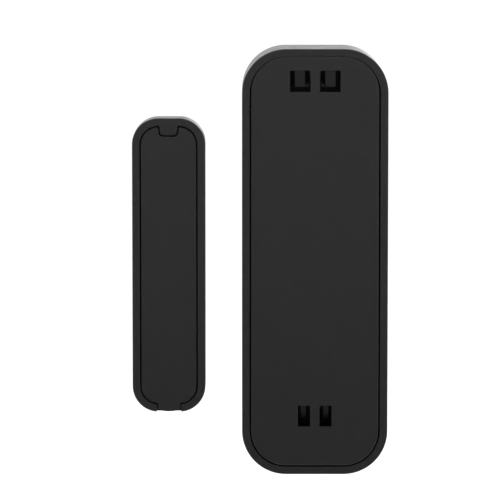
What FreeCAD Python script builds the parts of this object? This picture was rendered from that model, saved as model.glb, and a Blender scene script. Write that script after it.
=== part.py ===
import FreeCAD, Part
import math
import os

# Wireless door contact in two units, millimetres.
# The wall is the plane Y = 0. Both units lie against it and stand out towards -Y, +Z is up, and the
# magnet unit is on the +X side. The origin is the centre of the transmitter's mounting face.
# "Back" means the side at the wall (+Y), "front" the side that faces the room (-Y).

# ---------------------------------------------------------------- transmitter, driving sizes
CELL_DIAMETER = 10.5        # AAA size cell
CELL_LENGTH = 44.5          # over the positive nub
TX_CORNER = 7.4             # outer corner radius, seen from the back
TX_WALL = 1.3               # side wall, seen as the rim round the mounting plate
TX_FRONT_WALL = 1.6
TX_FRONT_EDGE = 2.0         # rounding of the front face's edge
RIM_EDGE = 0.2              # softening of rims and plates at the back

PLATE_THICKNESS = 1.6
PLATE_PROUD = 0.25          # mounting plate stands this far behind the housing's rim
PLATE_GAP = 0.25            # between a plate and the rim about it
PLATE_TOP_GAP = 0.06        # the transmitter's plate sits close up to the rim at its top
PLATE_RIB = 0.6             # width of the stiffening rib on the plate's front
PLATE_RIB_HEIGHT = 0.6
PLATE_RIB_INSET = 0.35

PAD_HEIGHT = 1.4            # the plate is thicker by this round the snap windows
PAD_MARGIN = 1.0
LEDGE_THICKNESS = 0.5       # of the ledge that a hook's nose rests on
NOSE_BITE = 0.55            # how far a hook's nose reaches over its ledge
WINDOW_UNDERCUT = 0.8       # the window's lower side slopes away by this over the pad
TOP_WINDOW_WIDTH = 3.42
TOP_WINDOW_HEIGHT = 3.57
TOP_WINDOW_WEB = 1.59       # between the two windows of the top pair
TOP_WINDOW_INSET = 2.22     # from the plate's top edge
TOP_FLEX_GAP = 0.78         # open room below a hook, which it bends into
BOTTOM_WINDOW_WIDTH = 2.04
BOTTOM_WINDOW_HEIGHT = 3.54
BOTTOM_WINDOW_WEB = 1.58
BOTTOM_FLEX_GAP = 1.0
BOTTOM_MARGIN = 1.15        # from the bottom screw's head to the plate's bottom edge

HOOK_FACE_DEPTH = 1.5       # hook's back face below the mounting face
HOOK_ARM = 1.2              # thickness of the bending arm
HOOK_ROOT_DEPTH = 10.0      # where the arms grow out of the frame
HOOK_ROOT_BAR = 1.2
HOOK_ROOT_REACH = 0.8       # the root bar runs on this far below its window's undercut
HOOK_INNER_GAP = 0.25       # to the side of the window nearer the middle
HOOK_FIT = 0.05             # to the other sides
HOOK_CORNER_CUT = 0.8       # top pair only, at the foot's inner corner
# a hook's back face: outer chamfer, inner chamfer, their depth, fall of the face towards its foot
TOP_HOOK_FACE = (0.78, 0.65, 0.45, 0.2)
BOTTOM_HOOK_FACE = (0.45, 0.4, 0.25, 0.6)

# ---------------------------------------------------------------- inside the transmitter
FRAME_CLEARANCE = 0.2       # frame and board inside the housing
DECK_GAP = 0.2              # between the plate's pads and the frame's deck
DECK_THICKNESS = 1.2
CELL_TO_PLATE = 1.0
CELL_CLEARANCE = 0.2
TROUGH_WALL = 1.0
CELL_LIP = 0.65             # the deck's lips stand this far over the cell's side
FINGER_NOTCH = 11.0
BAY_MARGIN = 0.5            # from the top hooks' root bar down to the cell bay
BAY_FOOT = 2.16             # from the cell bay down to the bottom windows
CHANNEL_ROOM = 0.55         # beside the widest part in a channel, on each side of it
CONTACT_SHEET = 0.4
CONTACT_WIDTH = 6.6
CONTACT_TAIL = 1.5
SPRING_ROOM = 3.2           # left for the negative spring when a cell is in
SPRING_WIRE = 0.5
SPRING_TURNS = 2.5
SPRING_RADIUS = 2.4         # of the wire's centre line
SPRING_SEAT_GAP = 0.01
SPRING_END_GAP = 0.05       # left to the cell
NUB_DIAMETER = 3.8
NUB_HEIGHT = 0.9
CELL_EDGES = (0.5, 0.4)     # rounding of the can's top and bottom edge
LEG_THICKNESS = 0.9
LEG_LENGTH = 3.0
LEG_OFFSETS = (1.9, -5.3, -3.4)     # from the bay's top, middle and bottom

BOARD_THICKNESS = 1.0
BOARD_TO_TROUGH = 0.6
BOARD_FRONT_SPACE = 1.5     # for the parts on the board's front
BOARD_CORNER_CUT = 0.3

# on the board's front: across, up from the bay's middle, width, length, height, edge rounding
CONTROLLER = (0.0, -6.0, 5.0, 5.0, 0.9, 0.1)
SHIELD_CAN = (0.0, 9.0, 11.0, 10.0, 1.2, 0.25)
CRYSTAL = (5.4, -6.0, 2.5, 3.2, 0.7, 0.15)
REGULATOR = (-5.6, -15.0, 1.6, 2.9, 1.1, 0.15)
INDUCTOR = (0.0, -15.0, 4.0, 4.0, 1.2, 0.3)
SHIELD_SHEET = 0.2
CHIP = (0.8, 1.6)           # width, length
CHIP_CAPACITOR_HEIGHT = 0.8
CHIP_RESISTOR_HEIGHT = 0.45
# across, up from the bay's middle
CHIP_CAPACITOR_SPOTS = ((-5.6, -10.0), (-5.8, -7.6), (-5.6, -5.2), (-5.8, -2.8),
                        (4.6, -15.0), (6.1, -15.0), (7.6, -15.0))
CHIP_RESISTOR_SPOTS = ((-4.0, -10.6), (-2.0, -10.6), (0.0, -10.6), (2.0, -10.6), (4.0, -10.6))
TURNED_RESISTOR_SPOTS = ((-3.0, 17.0), (0.0, 17.0), (3.0, 17.0))
# in a channel beside the cell, on the board's back: width, length, height, edge rounding
STORAGE_CAPACITOR = (3.2, 6.0, 2.6, 0.3)
CAPACITOR_DROP = 13.0       # below the bay's middle
SWITCH_EDGE = 0.2

BOSS_DIAMETER = 3.2
BOSS_SHOULDER = 5.0
BOSS_CLEARANCE = 0.15
SCREW_DIAMETER = 2.0
SCREW_FIT = 0.02            # radial, in its boss; the thread is left out
SCREW_HOLE_CLEARANCE = 0.1  # radial, in the frame's deck
SCREW_LENGTH = 6.0
SCREW_HEAD_DIAMETER = 3.4
SCREW_HEAD_HEIGHT = 1.3
SCREW_HEAD_SINK = 0.6
SCREW_SLOT = 0.5
TOP_SCREW_DROP = 3.0        # below the top of the cell bay
BOTTOM_BOSS_ROOM = 0.6      # from the bottom hooks' root bar to the bottom boss

LIGHT_PIPE_DIAMETER = 2.0
LIGHT_PIPE_FLANGE = 3.2
LIGHT_PIPE_FLANGE_HEIGHT = 0.4
LED_SIZE = (1.6, 0.8, 0.6, 0.15)    # width, length, height, edge rounding
LED_RISE = 3.0              # above the top of the cell bay

REED_DIAMETER = 2.2
REED_LENGTH = 14.0
REED_RISE = 4.5             # above the bay's middle
REED_GLASS = 0.3            # glass wall
REED_GLASS_END = 0.6        # rounding of the glass's ends
REED_CAVITY = 9.0           # length of the gas space
REED_LEAD = 0.5             # lead diameter
REED_LEAD_SPAN = 20.0       # between the two bent-down leads
REED_LEAD_BEND = 0.8
REED_HEIGHT = 2.0           # axis above the board
REED_BLADE = (1.0, 0.2)     # width, thickness
REED_BLADE_GAP = 0.02       # closed, at rest beside the magnet
REED_OVERLAP = 1.0
REED_ROOT_GAP = 0.1

ANTENNA_WIRE = 0.7
ANTENNA_RADIUS = 1.3        # of the wire's centre line
ANTENNA_PITCH = 2.0
ANTENNA_TURNS = 7.5         # whole turns and a half, so that both ends point at the board
ANTENNA_HEIGHT = 2.4        # axis above the board
ANTENNA_DROP = 1.2          # its lower end below the bay's middle

TAMPER_TRAVEL = 1.0
TAMPER_PIN = 2.0            # plunger diameter
TAMPER_FLANGE = 3.1
TAMPER_FLANGE_HEIGHT = 0.8
TAMPER_STOP_GAP = 0.1       # left between flange and deck when it is out
TAMPER_BODY = (3.2, 5.4, 3.0)   # across, along, height
TAMPER_NUB = (1.2, 0.5)     # diameter, height
TAMPER_TO_PLATE = 0.1
TAMPER_INWARD = 0.3         # the plunger stands this far inward of its channel's middle
TAMPER_DROP = 11.5          # below the bay's middle
TAMPER_WIRE = 0.3
TAMPER_COILS = 5
TAMPER_SEAT_GAP = 0.02      # at each end of the spring
TAMPER_NUB_GAP = 0.1

LEARN_TRAVEL = 0.25
LEARN_PIN = 1.8
LEARN_BODY = (3.2, 3.6, 2.2)
LEARN_CAP = 2.6             # foot of the button, on the switch
LEARN_CAP_HEIGHT = 0.8
LEARN_CAP_GAP = 0.05
LEARN_DROP = 19.3           # below the bay's middle
LEARN_RECESS = 0.4          # button's end below the deck's back face
PIN_FIT = 0.1               # radial, of both pins in the deck

# ---------------------------------------------------------------- magnet unit, driving sizes
MG_WIDTH = 12.25
MG_LENGTH = 49.5
MG_DEPTH = 7.5
MG_CORNER = 4.4
MG_WALL = 1.27
MG_FRONT_WALL = 1.2
MG_FRONT_EDGE = 1.4
MG_PLATE = 1.4
MG_RIM_SETBACK = 0.1        # cover's rim in front of the mounting face
UNIT_GAP = 6.15             # between the two units, door closed
MG_DROP = 0.45              # magnet unit's centre below the transmitter's

TONGUE_LENGTH = 1.55        # cover's tongue, in the notch of the base
TONGUE_ROOT = 3.15
TONGUE_TIP = 2.55
TONGUE_ROUND = 0.45
PRY_TAB_WIDTH = 3.65
PRY_TAB_RECESS = 0.12       # tab's end inside the cover's outline
PRY_TAB_ROUND = 6.0

MAGNET_THICKNESS = 3.4
MAGNET_SIDE_GAP = 1.355     # from the magnet to the cover's side wall
MAGNET_END_GAP = 3.48       # from the magnet to the cover's end wall
MAGNET_FIT = 0.1
MAGNET_CHAMFER = 0.4
CRADLE_WALL = 0.7
CRADLE_HEIGHT = 2.6
CRADLE_END_GAP = 4.0        # cradle's side rails end this far from the magnet's ends

# ---------------------------------------------------------------- derived places
Vec = FreeCAD.Vector

CELL_R = CELL_DIAMETER / 2
TROUGH_R = CELL_R + CELL_CLEARANCE
TROUGH_HALF = TROUGH_R + TROUGH_WALL
CHANNEL_WIDTH = max(SCREW_HEAD_DIAMETER, BOSS_DIAMETER, TAMPER_BODY[0], LEARN_BODY[0]) + 2 * CHANNEL_ROOM
CHANNEL_X = TROUGH_HALF + CHANNEL_WIDTH / 2         # middle of the channel beside the cell trough
INNER_HALF = TROUGH_HALF + CHANNEL_WIDTH            # housing's inner side face
TX_WIDTH = 2 * (INNER_HALF + TX_WALL)

BAY_LENGTH = CONTACT_SHEET + HOOK_FIT + CELL_LENGTH + SPRING_ROOM + CONTACT_SHEET
ROOT_REACH = WINDOW_UNDERCUT + HOOK_ROOT_REACH      # of a root bar, below its window
BOTTOM_SCREW_DROP = ROOT_REACH + BOTTOM_BOSS_ROOM + BOSS_DIAMETER / 2
BOTTOM_WINDOW_INSET = BOTTOM_SCREW_DROP + SCREW_HEAD_DIAMETER / 2 + BOTTOM_MARGIN
ABOVE_BAY = TX_WALL + PLATE_TOP_GAP + TOP_WINDOW_INSET + TOP_WINDOW_HEIGHT + ROOT_REACH + BAY_MARGIN
BELOW_BAY = BAY_FOOT + BOTTOM_WINDOW_HEIGHT + BOTTOM_WINDOW_INSET + PLATE_GAP + TX_WALL
TX_LENGTH = ABOVE_BAY + BAY_LENGTH + BELOW_BAY
INNER_END = TX_LENGTH / 2 - TX_WALL

PAD_FRONT = -(PLATE_THICKNESS + PAD_HEIGHT)
LEDGE_BACK = PAD_FRONT + LEDGE_THICKNESS
DECK_BACK = PAD_FRONT - DECK_GAP
DECK_FRONT = DECK_BACK - DECK_THICKNESS
CELL_Y = -(PLATE_THICKNESS + CELL_TO_PLATE + CELL_R)
TROUGH_FLOOR = CELL_Y - TROUGH_R - TROUGH_WALL
BOARD_BACK = TROUGH_FLOOR - BOARD_TO_TROUGH
BOARD_FRONT = BOARD_BACK - BOARD_THICKNESS
CAVITY_FRONT = BOARD_FRONT - BOARD_FRONT_SPACE
TX_FRONT = CAVITY_FRONT - TX_FRONT_WALL

PLATE_WIDTH = TX_WIDTH - 2 * (TX_WALL + PLATE_GAP)
PLATE_LENGTH = TX_LENGTH - 2 * TX_WALL - PLATE_GAP - PLATE_TOP_GAP
PLATE_Z = (PLATE_GAP - PLATE_TOP_GAP) / 2           # plate's middle above the housing's
PLATE_CORNER = TX_CORNER - TX_WALL - PLATE_GAP

TOP_WINDOW_HIGH = PLATE_Z + PLATE_LENGTH / 2 - TOP_WINDOW_INSET
BOTTOM_WINDOW_LOW = PLATE_Z - PLATE_LENGTH / 2 + BOTTOM_WINDOW_INSET
# inner side, outer side, lower side, upper side and bending room of the +X window of each pair
TOP_WINDOW = (TOP_WINDOW_WEB / 2, TOP_WINDOW_WEB / 2 + TOP_WINDOW_WIDTH,
              TOP_WINDOW_HIGH - TOP_WINDOW_HEIGHT, TOP_WINDOW_HIGH, TOP_FLEX_GAP)
BOTTOM_WINDOW = (BOTTOM_WINDOW_WEB / 2, BOTTOM_WINDOW_WEB / 2 + BOTTOM_WINDOW_WIDTH,
                 BOTTOM_WINDOW_LOW, BOTTOM_WINDOW_LOW + BOTTOM_WINDOW_HEIGHT, BOTTOM_FLEX_GAP)
WINDOWS = (TOP_WINDOW, BOTTOM_WINDOW)

BAY_TOP = TOP_WINDOW[2] - ROOT_REACH - BAY_MARGIN
CELL_TOP = BAY_TOP - CONTACT_SHEET - HOOK_FIT
CELL_BOTTOM = CELL_TOP - CELL_LENGTH
BAY_BOTTOM = CELL_BOTTOM - SPRING_ROOM - CONTACT_SHEET
BAY_MID = (BAY_TOP + BAY_BOTTOM) / 2

SCREW_SPOTS = ((CHANNEL_X, BAY_TOP - TOP_SCREW_DROP), (-CHANNEL_X, BAY_TOP - TOP_SCREW_DROP),
               (0.0, BOTTOM_WINDOW[2] - BOTTOM_SCREW_DROP))
LEG_Z = (BAY_TOP + LEG_OFFSETS[0], BAY_MID + LEG_OFFSETS[1], BAY_BOTTOM + LEG_OFFSETS[2])
LED_SPOT = (0.0, BAY_TOP + LED_RISE)
TAMPER_SPOT = (TAMPER_INWARD - CHANNEL_X, BAY_MID - TAMPER_DROP)
LEARN_SPOT = (-CHANNEL_X, BAY_MID - LEARN_DROP)
REED_Z = BAY_MID + REED_RISE
ANTENNA_LOW = BAY_MID - ANTENNA_DROP
CAPACITOR_SPOT = (CHANNEL_X, BAY_MID - CAPACITOR_DROP)

MAGNET_WIDTH = MG_WIDTH - 2 * (MG_WALL + MAGNET_SIDE_GAP)
MAGNET_LENGTH = MG_LENGTH - 2 * (MG_WALL + MAGNET_END_GAP)
MG_X = TX_WIDTH / 2 + UNIT_GAP + MG_WIDTH / 2
MG_Z = -MG_DROP
MG_TOP = MG_Z + MG_LENGTH / 2
MG_BOTTOM = MG_Z - MG_LENGTH / 2


# ---------------------------------------------------------------- helpers
def block(x0, x1, y0, y1, z0, z1):
    """Box between two corners, given in any order."""
    low = Vec(min(x0, x1), min(y0, y1), min(z0, z1))
    return Part.makeBox(abs(x1 - x0), abs(y1 - y0), abs(z1 - z0), low)


def pin_y(x, z, radius, y0, y1):
    """Cylinder along Y."""
    return Part.makeCylinder(radius, abs(y1 - y0), Vec(x, min(y0, y1), z), Vec(0, 1, 0))


def pin_z(x, y, radius, z0, z1):
    """Cylinder along Z."""
    return Part.makeCylinder(radius, abs(z1 - z0), Vec(x, y, min(z0, z1)), Vec(0, 0, 1))


def prism(points, direction):
    """Closed outline through the points, swept straight along a direction."""
    outline = Part.makePolygon([Vec(*p) for p in points] + [Vec(*points[0])])
    return Part.Face(outline).extrude(Vec(*direction))


def soften(shape, radius, chosen):
    """Round the edges whose middle point satisfies chosen(point, tangent)."""
    picked = []
    for edge in shape.Edges:
        middle = (edge.FirstParameter + edge.LastParameter) / 2
        if chosen(edge.valueAt(middle), edge.tangentAt(middle)):
            picked.append(edge)
    return shape.makeFillet(radius, picked)


def round_ring(shape, radius, y):
    """Round every edge that lies in the plane Y = y."""
    return soften(shape, radius, lambda p, t: abs(p.y - y) < 1e-6 and abs(t.y) < 1e-6)


def slab(x, z, width, length, corner, back, front):
    """Plate with rounded corners, seen along Y, from its back to its front."""
    solid = block(x - width / 2, x + width / 2, back, front, z - length / 2, z + length / 2)
    return soften(solid, corner, lambda p, t: abs(t.y) > 0.999)


def shell(x, z, width, length, corner, wall, back, cavity_front, front, edge):
    """Tray open at the back: its front edge is rounded outside and, less the wall, inside."""
    outer = round_ring(slab(x, z, width, length, corner, back, front), edge, front)
    outer = round_ring(outer, RIM_EDGE, back)
    hollow = slab(x, z, width - 2 * wall, length - 2 * wall, corner - wall, back + 1, cavity_front)
    return outer.cut(round_ring(hollow, max(edge - wall, RIM_EDGE), cavity_front))


def coil(x, y, z, pitch, turns, radius, wire):
    """Round wire wound about a line along Z, from z upwards."""
    path = Part.Wire(Part.makeHelix(pitch, pitch * turns, radius).Edges)
    start = Part.makeCircle(wire / 2, Vec(radius, 0, 0), Vec(0, 1, 0))
    wound = path.makePipeShell([Part.Wire([start])], True, True)
    wound.translate(Vec(x, y, z))
    return wound


def pair(shape):
    """A shape and its mirror image across the plane X = 0."""
    return [shape, shape.mirror(Vec(0, 0, 0), Vec(1, 0, 0))]


def turned_to_y(shape, x, z, y):
    """Move a shape built along +Z at the origin so that it runs along +Y from (x, y, z)."""
    shape.rotate(Vec(0, 0, 0), Vec(1, 0, 0), -90)
    shape.translate(Vec(x, y, z))
    return shape


def one_solid(shape):
    """The clean single solid of a boolean result."""
    return shape.removeSplitter().Solids[0]


# ---------------------------------------------------------------- mounting plate and its windows
def window_cut(window):
    """Stepped window: full size at the back, a ledge at its upper side, undercut at its lower side."""
    inner, outer, low, high, _ = window
    outline = [
        (inner, 1.0, low),
        (inner, 1.0, high),
        (inner, LEDGE_BACK, high),
        (inner, LEDGE_BACK, high - NOSE_BITE),
        (inner, PAD_FRONT - 1, high - NOSE_BITE),
        (inner, PAD_FRONT - 1, low - WINDOW_UNDERCUT),
        (inner, 0.0, low),
    ]
    return prism(outline, (outer - inner, 0, 0))


def mounting_plate():
    plate = slab(0, PLATE_Z, PLATE_WIDTH, PLATE_LENGTH, PLATE_CORNER, 0, -PLATE_THICKNESS)
    plate = round_ring(plate, RIM_EDGE, 0)
    inset = 2 * PLATE_RIB_INSET
    rib_front = -PLATE_THICKNESS - PLATE_RIB_HEIGHT
    rib = slab(0, PLATE_Z, PLATE_WIDTH - inset, PLATE_LENGTH - inset, PLATE_CORNER - PLATE_RIB_INSET,
               -PLATE_THICKNESS, rib_front)
    inside = inset + 2 * PLATE_RIB
    rib = rib.cut(slab(0, PLATE_Z, PLATE_WIDTH - inside, PLATE_LENGTH - inside,
                       PLATE_CORNER - inside / 2, -PLATE_THICKNESS, rib_front))
    plate = plate.fuse(rib)
    for window in WINDOWS:
        _, outer, low, high, _ = window
        reach = outer + PAD_MARGIN
        plate = plate.fuse(block(-reach, reach, -PLATE_THICKNESS, PAD_FRONT,
                                 low - PAD_MARGIN, high + PAD_MARGIN))
    for window in WINDOWS:
        plate = plate.cut(pair(window_cut(window)))
    return one_solid(plate)


def hook(window, face):
    """One snap hook: a bending arm and the nose that rests on the window's ledge."""
    inner, outer, low, high, flex_gap = window
    outer_chamfer, inner_chamfer, depth, fall = face
    x0 = inner + HOOK_INNER_GAP
    x1 = outer - HOOK_FIT
    foot = low + flex_gap
    top = high - HOOK_FIT
    under = LEDGE_BACK + HOOK_FIT
    back = -HOOK_FACE_DEPTH - fall
    nose = prism([(x0, under - fall, foot), (x0, back - depth, foot), (x0 + inner_chamfer, back, foot),
                  (x1 - outer_chamfer, back, foot), (x1, back - depth, foot), (x1, under - fall, foot)],
                 (0, fall, top - foot))
    nose = nose.common(block(x0, x1, under, 0, foot, top))
    return one_solid(nose.fuse(block(x0, x1, under, -HOOK_ROOT_DEPTH, foot, foot + HOOK_ARM)))


def clipped(shape, window):
    """A hook less the inner corner of its foot."""
    x = window[0] + HOOK_INNER_GAP
    foot = window[2] + window[4]
    cut = HOOK_CORNER_CUT
    corner = prism([(x, 0, foot), (x + cut, 0, foot), (x, 0, foot + cut)], (0, LEDGE_BACK + HOOK_FIT, 0))
    return one_solid(shape.cut(corner))


def snap_hooks():
    top = clipped(hook(TOP_WINDOW, TOP_HOOK_FACE), TOP_WINDOW)
    return pair(top) + pair(hook(BOTTOM_WINDOW, BOTTOM_HOOK_FACE))


# ---------------------------------------------------------------- housing and inner frame
def front_housing():
    body = shell(0, 0, TX_WIDTH, TX_LENGTH, TX_CORNER, TX_WALL, -PLATE_PROUD, CAVITY_FRONT,
                 TX_FRONT, TX_FRONT_EDGE)
    envelope = slab(0, 0, TX_WIDTH - TX_WALL, TX_LENGTH - TX_WALL, TX_CORNER - TX_WALL / 2,
                    DECK_FRONT, CAVITY_FRONT - TX_FRONT_WALL / 2)
    for x, z in SCREW_SPOTS:
        boss = pin_y(x, z, BOSS_DIAMETER / 2, DECK_FRONT, CAVITY_FRONT - TX_FRONT_WALL / 2)
        boss = boss.fuse(pin_y(x, z, BOSS_SHOULDER / 2, BOARD_FRONT, CAVITY_FRONT - TX_FRONT_WALL / 2))
        body = body.fuse(boss.common(envelope))
    for x, z in SCREW_SPOTS:
        depth = SCREW_LENGTH + SCREW_HEAD_SINK
        body = body.cut(pin_y(x, z, SCREW_DIAMETER / 2 + SCREW_FIT, DECK_FRONT, DECK_FRONT - depth))
    for x in (-1, 1):
        rib_x = x * (INNER_HALF - BOSS_SHOULDER / 4)
        rib = block(rib_x, x * (INNER_HALF + TX_WALL / 2), BOARD_FRONT, CAVITY_FRONT - TX_FRONT_WALL / 2,
                    BAY_BOTTOM, BAY_BOTTOM + LEG_LENGTH)
        body = body.fuse(rib)
    x, z = LED_SPOT
    body = body.cut(pin_y(x, z, LIGHT_PIPE_DIAMETER / 2 + SCREW_FIT, CAVITY_FRONT + 1, TX_FRONT - 1))
    return one_solid(body)


def light_pipe():
    x, z = LED_SPOT
    stem = pin_y(x, z, LIGHT_PIPE_DIAMETER / 2, CAVITY_FRONT, TX_FRONT)
    flange = pin_y(x, z, LIGHT_PIPE_FLANGE / 2, CAVITY_FRONT, CAVITY_FRONT + LIGHT_PIPE_FLANGE_HEIGHT)
    return one_solid(stem.fuse(flange))


def trough():
    """Channel for the cell, closed at both ends, with slots for the contacts' tails."""
    low = BAY_BOTTOM - TROUGH_WALL
    high = BAY_TOP + TROUGH_WALL
    outside = block(-TROUGH_HALF, TROUGH_HALF, DECK_FRONT, TROUGH_FLOOR, low, high)
    hollow = pin_z(0, CELL_Y, TROUGH_R, BAY_BOTTOM, BAY_TOP)
    hollow = hollow.fuse(block(-TROUGH_R, TROUGH_R, CELL_Y, DECK_FRONT, BAY_BOTTOM, BAY_TOP))
    channel = outside.cut(hollow)
    tail = CONTACT_TAIL / 2 + FRAME_CLEARANCE
    for z0, z1 in ((BAY_TOP - CONTACT_SHEET - FRAME_CLEARANCE, BAY_TOP),
                   (BAY_BOTTOM, BAY_BOTTOM + CONTACT_SHEET + FRAME_CLEARANCE)):
        channel = channel.cut(block(-tail, tail, CELL_Y, TROUGH_FLOOR - 1, z0, z1))
    return channel


def hook_cradle(window):
    """Bar that a pair of hooks grows out of, hung from the deck by a strut at each end."""
    _, outer, low, _, flex_gap = window
    foot = low + flex_gap
    x1 = outer + FRAME_CLEARANCE
    bar_front = -HOOK_ROOT_DEPTH - HOOK_ROOT_BAR
    bar = block(-x1 - TROUGH_WALL, x1 + TROUGH_WALL, -HOOK_ROOT_DEPTH, bar_front,
                low - ROOT_REACH, foot + HOOK_ARM)
    strut = block(x1, x1 + TROUGH_WALL, DECK_FRONT, bar_front, foot, foot + HOOK_ARM)
    return bar.fuse(pair(strut))


def hook_slot(window):
    """Opening in the deck that a hook comes through and bends in."""
    inner, outer, low, _, flex_gap = window
    return block(inner - FRAME_CLEARANCE, outer + FRAME_CLEARANCE, DECK_BACK + 1, DECK_FRONT,
                 low - WINDOW_UNDERCUT, low + flex_gap + HOOK_ARM + FRAME_CLEARANCE)


def inner_frame():
    width = 2 * (INNER_HALF - FRAME_CLEARANCE)
    length = 2 * (INNER_END - FRAME_CLEARANCE)
    corner = TX_CORNER - TX_WALL - FRAME_CLEARANCE
    frame = slab(0, 0, width, length, corner, DECK_BACK, DECK_FRONT)
    frame = frame.fuse(trough())
    half_mouth = CELL_R - CELL_LIP
    frame = frame.cut(block(-half_mouth, half_mouth, DECK_BACK + 1, DECK_FRONT - 1, BAY_BOTTOM, BAY_TOP))
    notch = FINGER_NOTCH / 2
    frame = frame.cut(block(-TROUGH_HALF, TROUGH_HALF, DECK_BACK + 1, CELL_Y,
                            BAY_MID - notch, BAY_MID + notch))
    for window in WINDOWS:
        frame = frame.fuse(hook_cradle(window))
        frame = frame.cut(pair(hook_slot(window)))
    for z in LEG_Z:
        leg = block(width / 2 - LEG_THICKNESS, width / 2, DECK_FRONT, BOARD_BACK,
                    z - LEG_LENGTH / 2, z + LEG_LENGTH / 2)
        leg = leg.common(slab(0, 0, width, length, corner, DECK_BACK, BOARD_BACK))
        frame = frame.fuse(pair(leg))
    for x, z in SCREW_SPOTS:
        hole = SCREW_DIAMETER / 2 + SCREW_HOLE_CLEARANCE
        frame = frame.cut(pin_y(x, z, hole, DECK_BACK + 1, DECK_FRONT - 1))
        sink = SCREW_HEAD_DIAMETER / 2 + FRAME_CLEARANCE
        frame = frame.cut(pin_y(x, z, sink, DECK_BACK + 1, DECK_BACK - SCREW_HEAD_SINK))
    for (x, z), pin in ((TAMPER_SPOT, TAMPER_PIN), (LEARN_SPOT, LEARN_PIN)):
        frame = frame.cut(pin_y(x, z, pin / 2 + PIN_FIT, DECK_BACK + 1, DECK_FRONT - 1))
    return one_solid(frame)


def frame_screws():
    """Pan head screws through the deck; each thread is a plain cylinder."""
    screws = []
    for x, z in SCREW_SPOTS:
        seat = DECK_BACK - SCREW_HEAD_SINK
        top = seat + SCREW_HEAD_HEIGHT
        head = round_ring(pin_y(x, z, SCREW_HEAD_DIAMETER / 2, seat, top), SCREW_HEAD_HEIGHT / 2, top)
        screw = head.fuse(pin_y(x, z, SCREW_DIAMETER / 2, seat, seat - SCREW_LENGTH))
        arm = SCREW_HEAD_DIAMETER / 4
        half = SCREW_SLOT / 2
        bottom = top - SCREW_HEAD_HEIGHT / 2
        screw = screw.cut(block(x - arm, x + arm, top, bottom, z - half, z + half))
        screw = screw.cut(block(x - half, x + half, top, bottom, z - arm, z + arm))
        screws.append(one_solid(screw))
    return screws


# ---------------------------------------------------------------- cell and its contacts
def battery_cell():
    can_top = CELL_TOP - NUB_HEIGHT
    can = pin_z(0, CELL_Y, CELL_R, CELL_BOTTOM, can_top)
    can = soften(can, CELL_EDGES[0], lambda p, t: abs(t.z) < 1e-6 and abs(p.z - can_top) < 1e-6)
    can = soften(can, CELL_EDGES[1], lambda p, t: abs(t.z) < 1e-6 and abs(p.z - CELL_BOTTOM) < 1e-6)
    nub = pin_z(0, CELL_Y, NUB_DIAMETER / 2, can_top, CELL_TOP)
    return one_solid(can.fuse(nub))


def contact_sheet(z0, z1):
    """Stamped contact across one end of the bay, with a tail down to the board."""
    half = CONTACT_WIDTH / 2
    drop = math.sqrt(TROUGH_R ** 2 - half ** 2) - FRAME_CLEARANCE
    sheet = block(-half, half, DECK_FRONT, CELL_Y - drop, z0, z1)
    tail = block(-CONTACT_TAIL / 2, CONTACT_TAIL / 2, CELL_Y, BOARD_BACK, z0, z1)
    return one_solid(sheet.fuse(tail))


def battery_positive_contact():
    return contact_sheet(BAY_TOP - CONTACT_SHEET, BAY_TOP)


def battery_negative_spring():
    """Contact sheet and the coil that pushes the cell up; they are joined in one node."""
    sheet = contact_sheet(BAY_BOTTOM, BAY_BOTTOM + CONTACT_SHEET)
    foot = BAY_BOTTOM + CONTACT_SHEET + SPRING_WIRE / 2 + SPRING_SEAT_GAP
    room = CELL_BOTTOM - foot - SPRING_WIRE / 2 - SPRING_END_GAP
    return [sheet, coil(0, CELL_Y, foot, room / SPRING_TURNS, SPRING_TURNS, SPRING_RADIUS, SPRING_WIRE)]


# ---------------------------------------------------------------- board and what is on it
def circuit_board():
    shrink = 2 * (FRAME_CLEARANCE + BOARD_CORNER_CUT / 2)
    width = 2 * INNER_HALF - shrink
    length = 2 * INNER_END - shrink
    board = slab(0, 0, width, length, TX_CORNER - TX_WALL, BOARD_BACK, BOARD_FRONT)
    radius = BOSS_DIAMETER / 2 + BOSS_CLEARANCE
    for x, z in SCREW_SPOTS:
        board = board.cut(pin_y(x, z, radius, BOARD_BACK + 1, BOARD_FRONT - 1))
        if x:
            edge = math.copysign(INNER_HALF, x)
            board = board.cut(block(x, edge, BOARD_BACK + 1, BOARD_FRONT - 1, z - radius, z + radius))
    return one_solid(board)


def on_front(x, z, width, length, height, edge=0.0):
    """Part soldered on the board's front face."""
    part = block(x - width / 2, x + width / 2, BOARD_FRONT, BOARD_FRONT - height,
                 z - length / 2, z + length / 2)
    if edge:
        part = round_ring(part, edge, BOARD_FRONT - height)
    return part


def on_back(x, z, width, length, height, edge=0.0):
    """Part soldered on the board's back face."""
    part = block(x - width / 2, x + width / 2, BOARD_BACK, BOARD_BACK + height,
                 z - length / 2, z + length / 2)
    if edge:
        part = round_ring(part, edge, BOARD_BACK + height)
    return part


def placed(x, up, *size):
    """Part on the board's front, placed from the middle of the cell bay."""
    return on_front(x, BAY_MID + up, *size)


def microcontroller():
    return placed(*CONTROLLER)


def radio_shield_can():
    x, up, width, length, height, _ = SHIELD_CAN
    inside = placed(x, up, width - 2 * SHIELD_SHEET, length - 2 * SHIELD_SHEET, height - SHIELD_SHEET)
    return one_solid(placed(*SHIELD_CAN).cut(inside))


def crystal():
    return placed(*CRYSTAL)


def voltage_regulator():
    return placed(*REGULATOR)


def boost_inductor():
    return placed(*INDUCTOR)


def storage_capacitor():
    return on_back(*CAPACITOR_SPOT, *STORAGE_CAPACITOR)


def status_led():
    return on_front(*LED_SPOT, *LED_SIZE)


def chip_capacitors():
    """Decoupling capacitors beside the controller and the converter."""
    return [placed(x, up, *CHIP, CHIP_CAPACITOR_HEIGHT) for x, up in CHIP_CAPACITOR_SPOTS]


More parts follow.
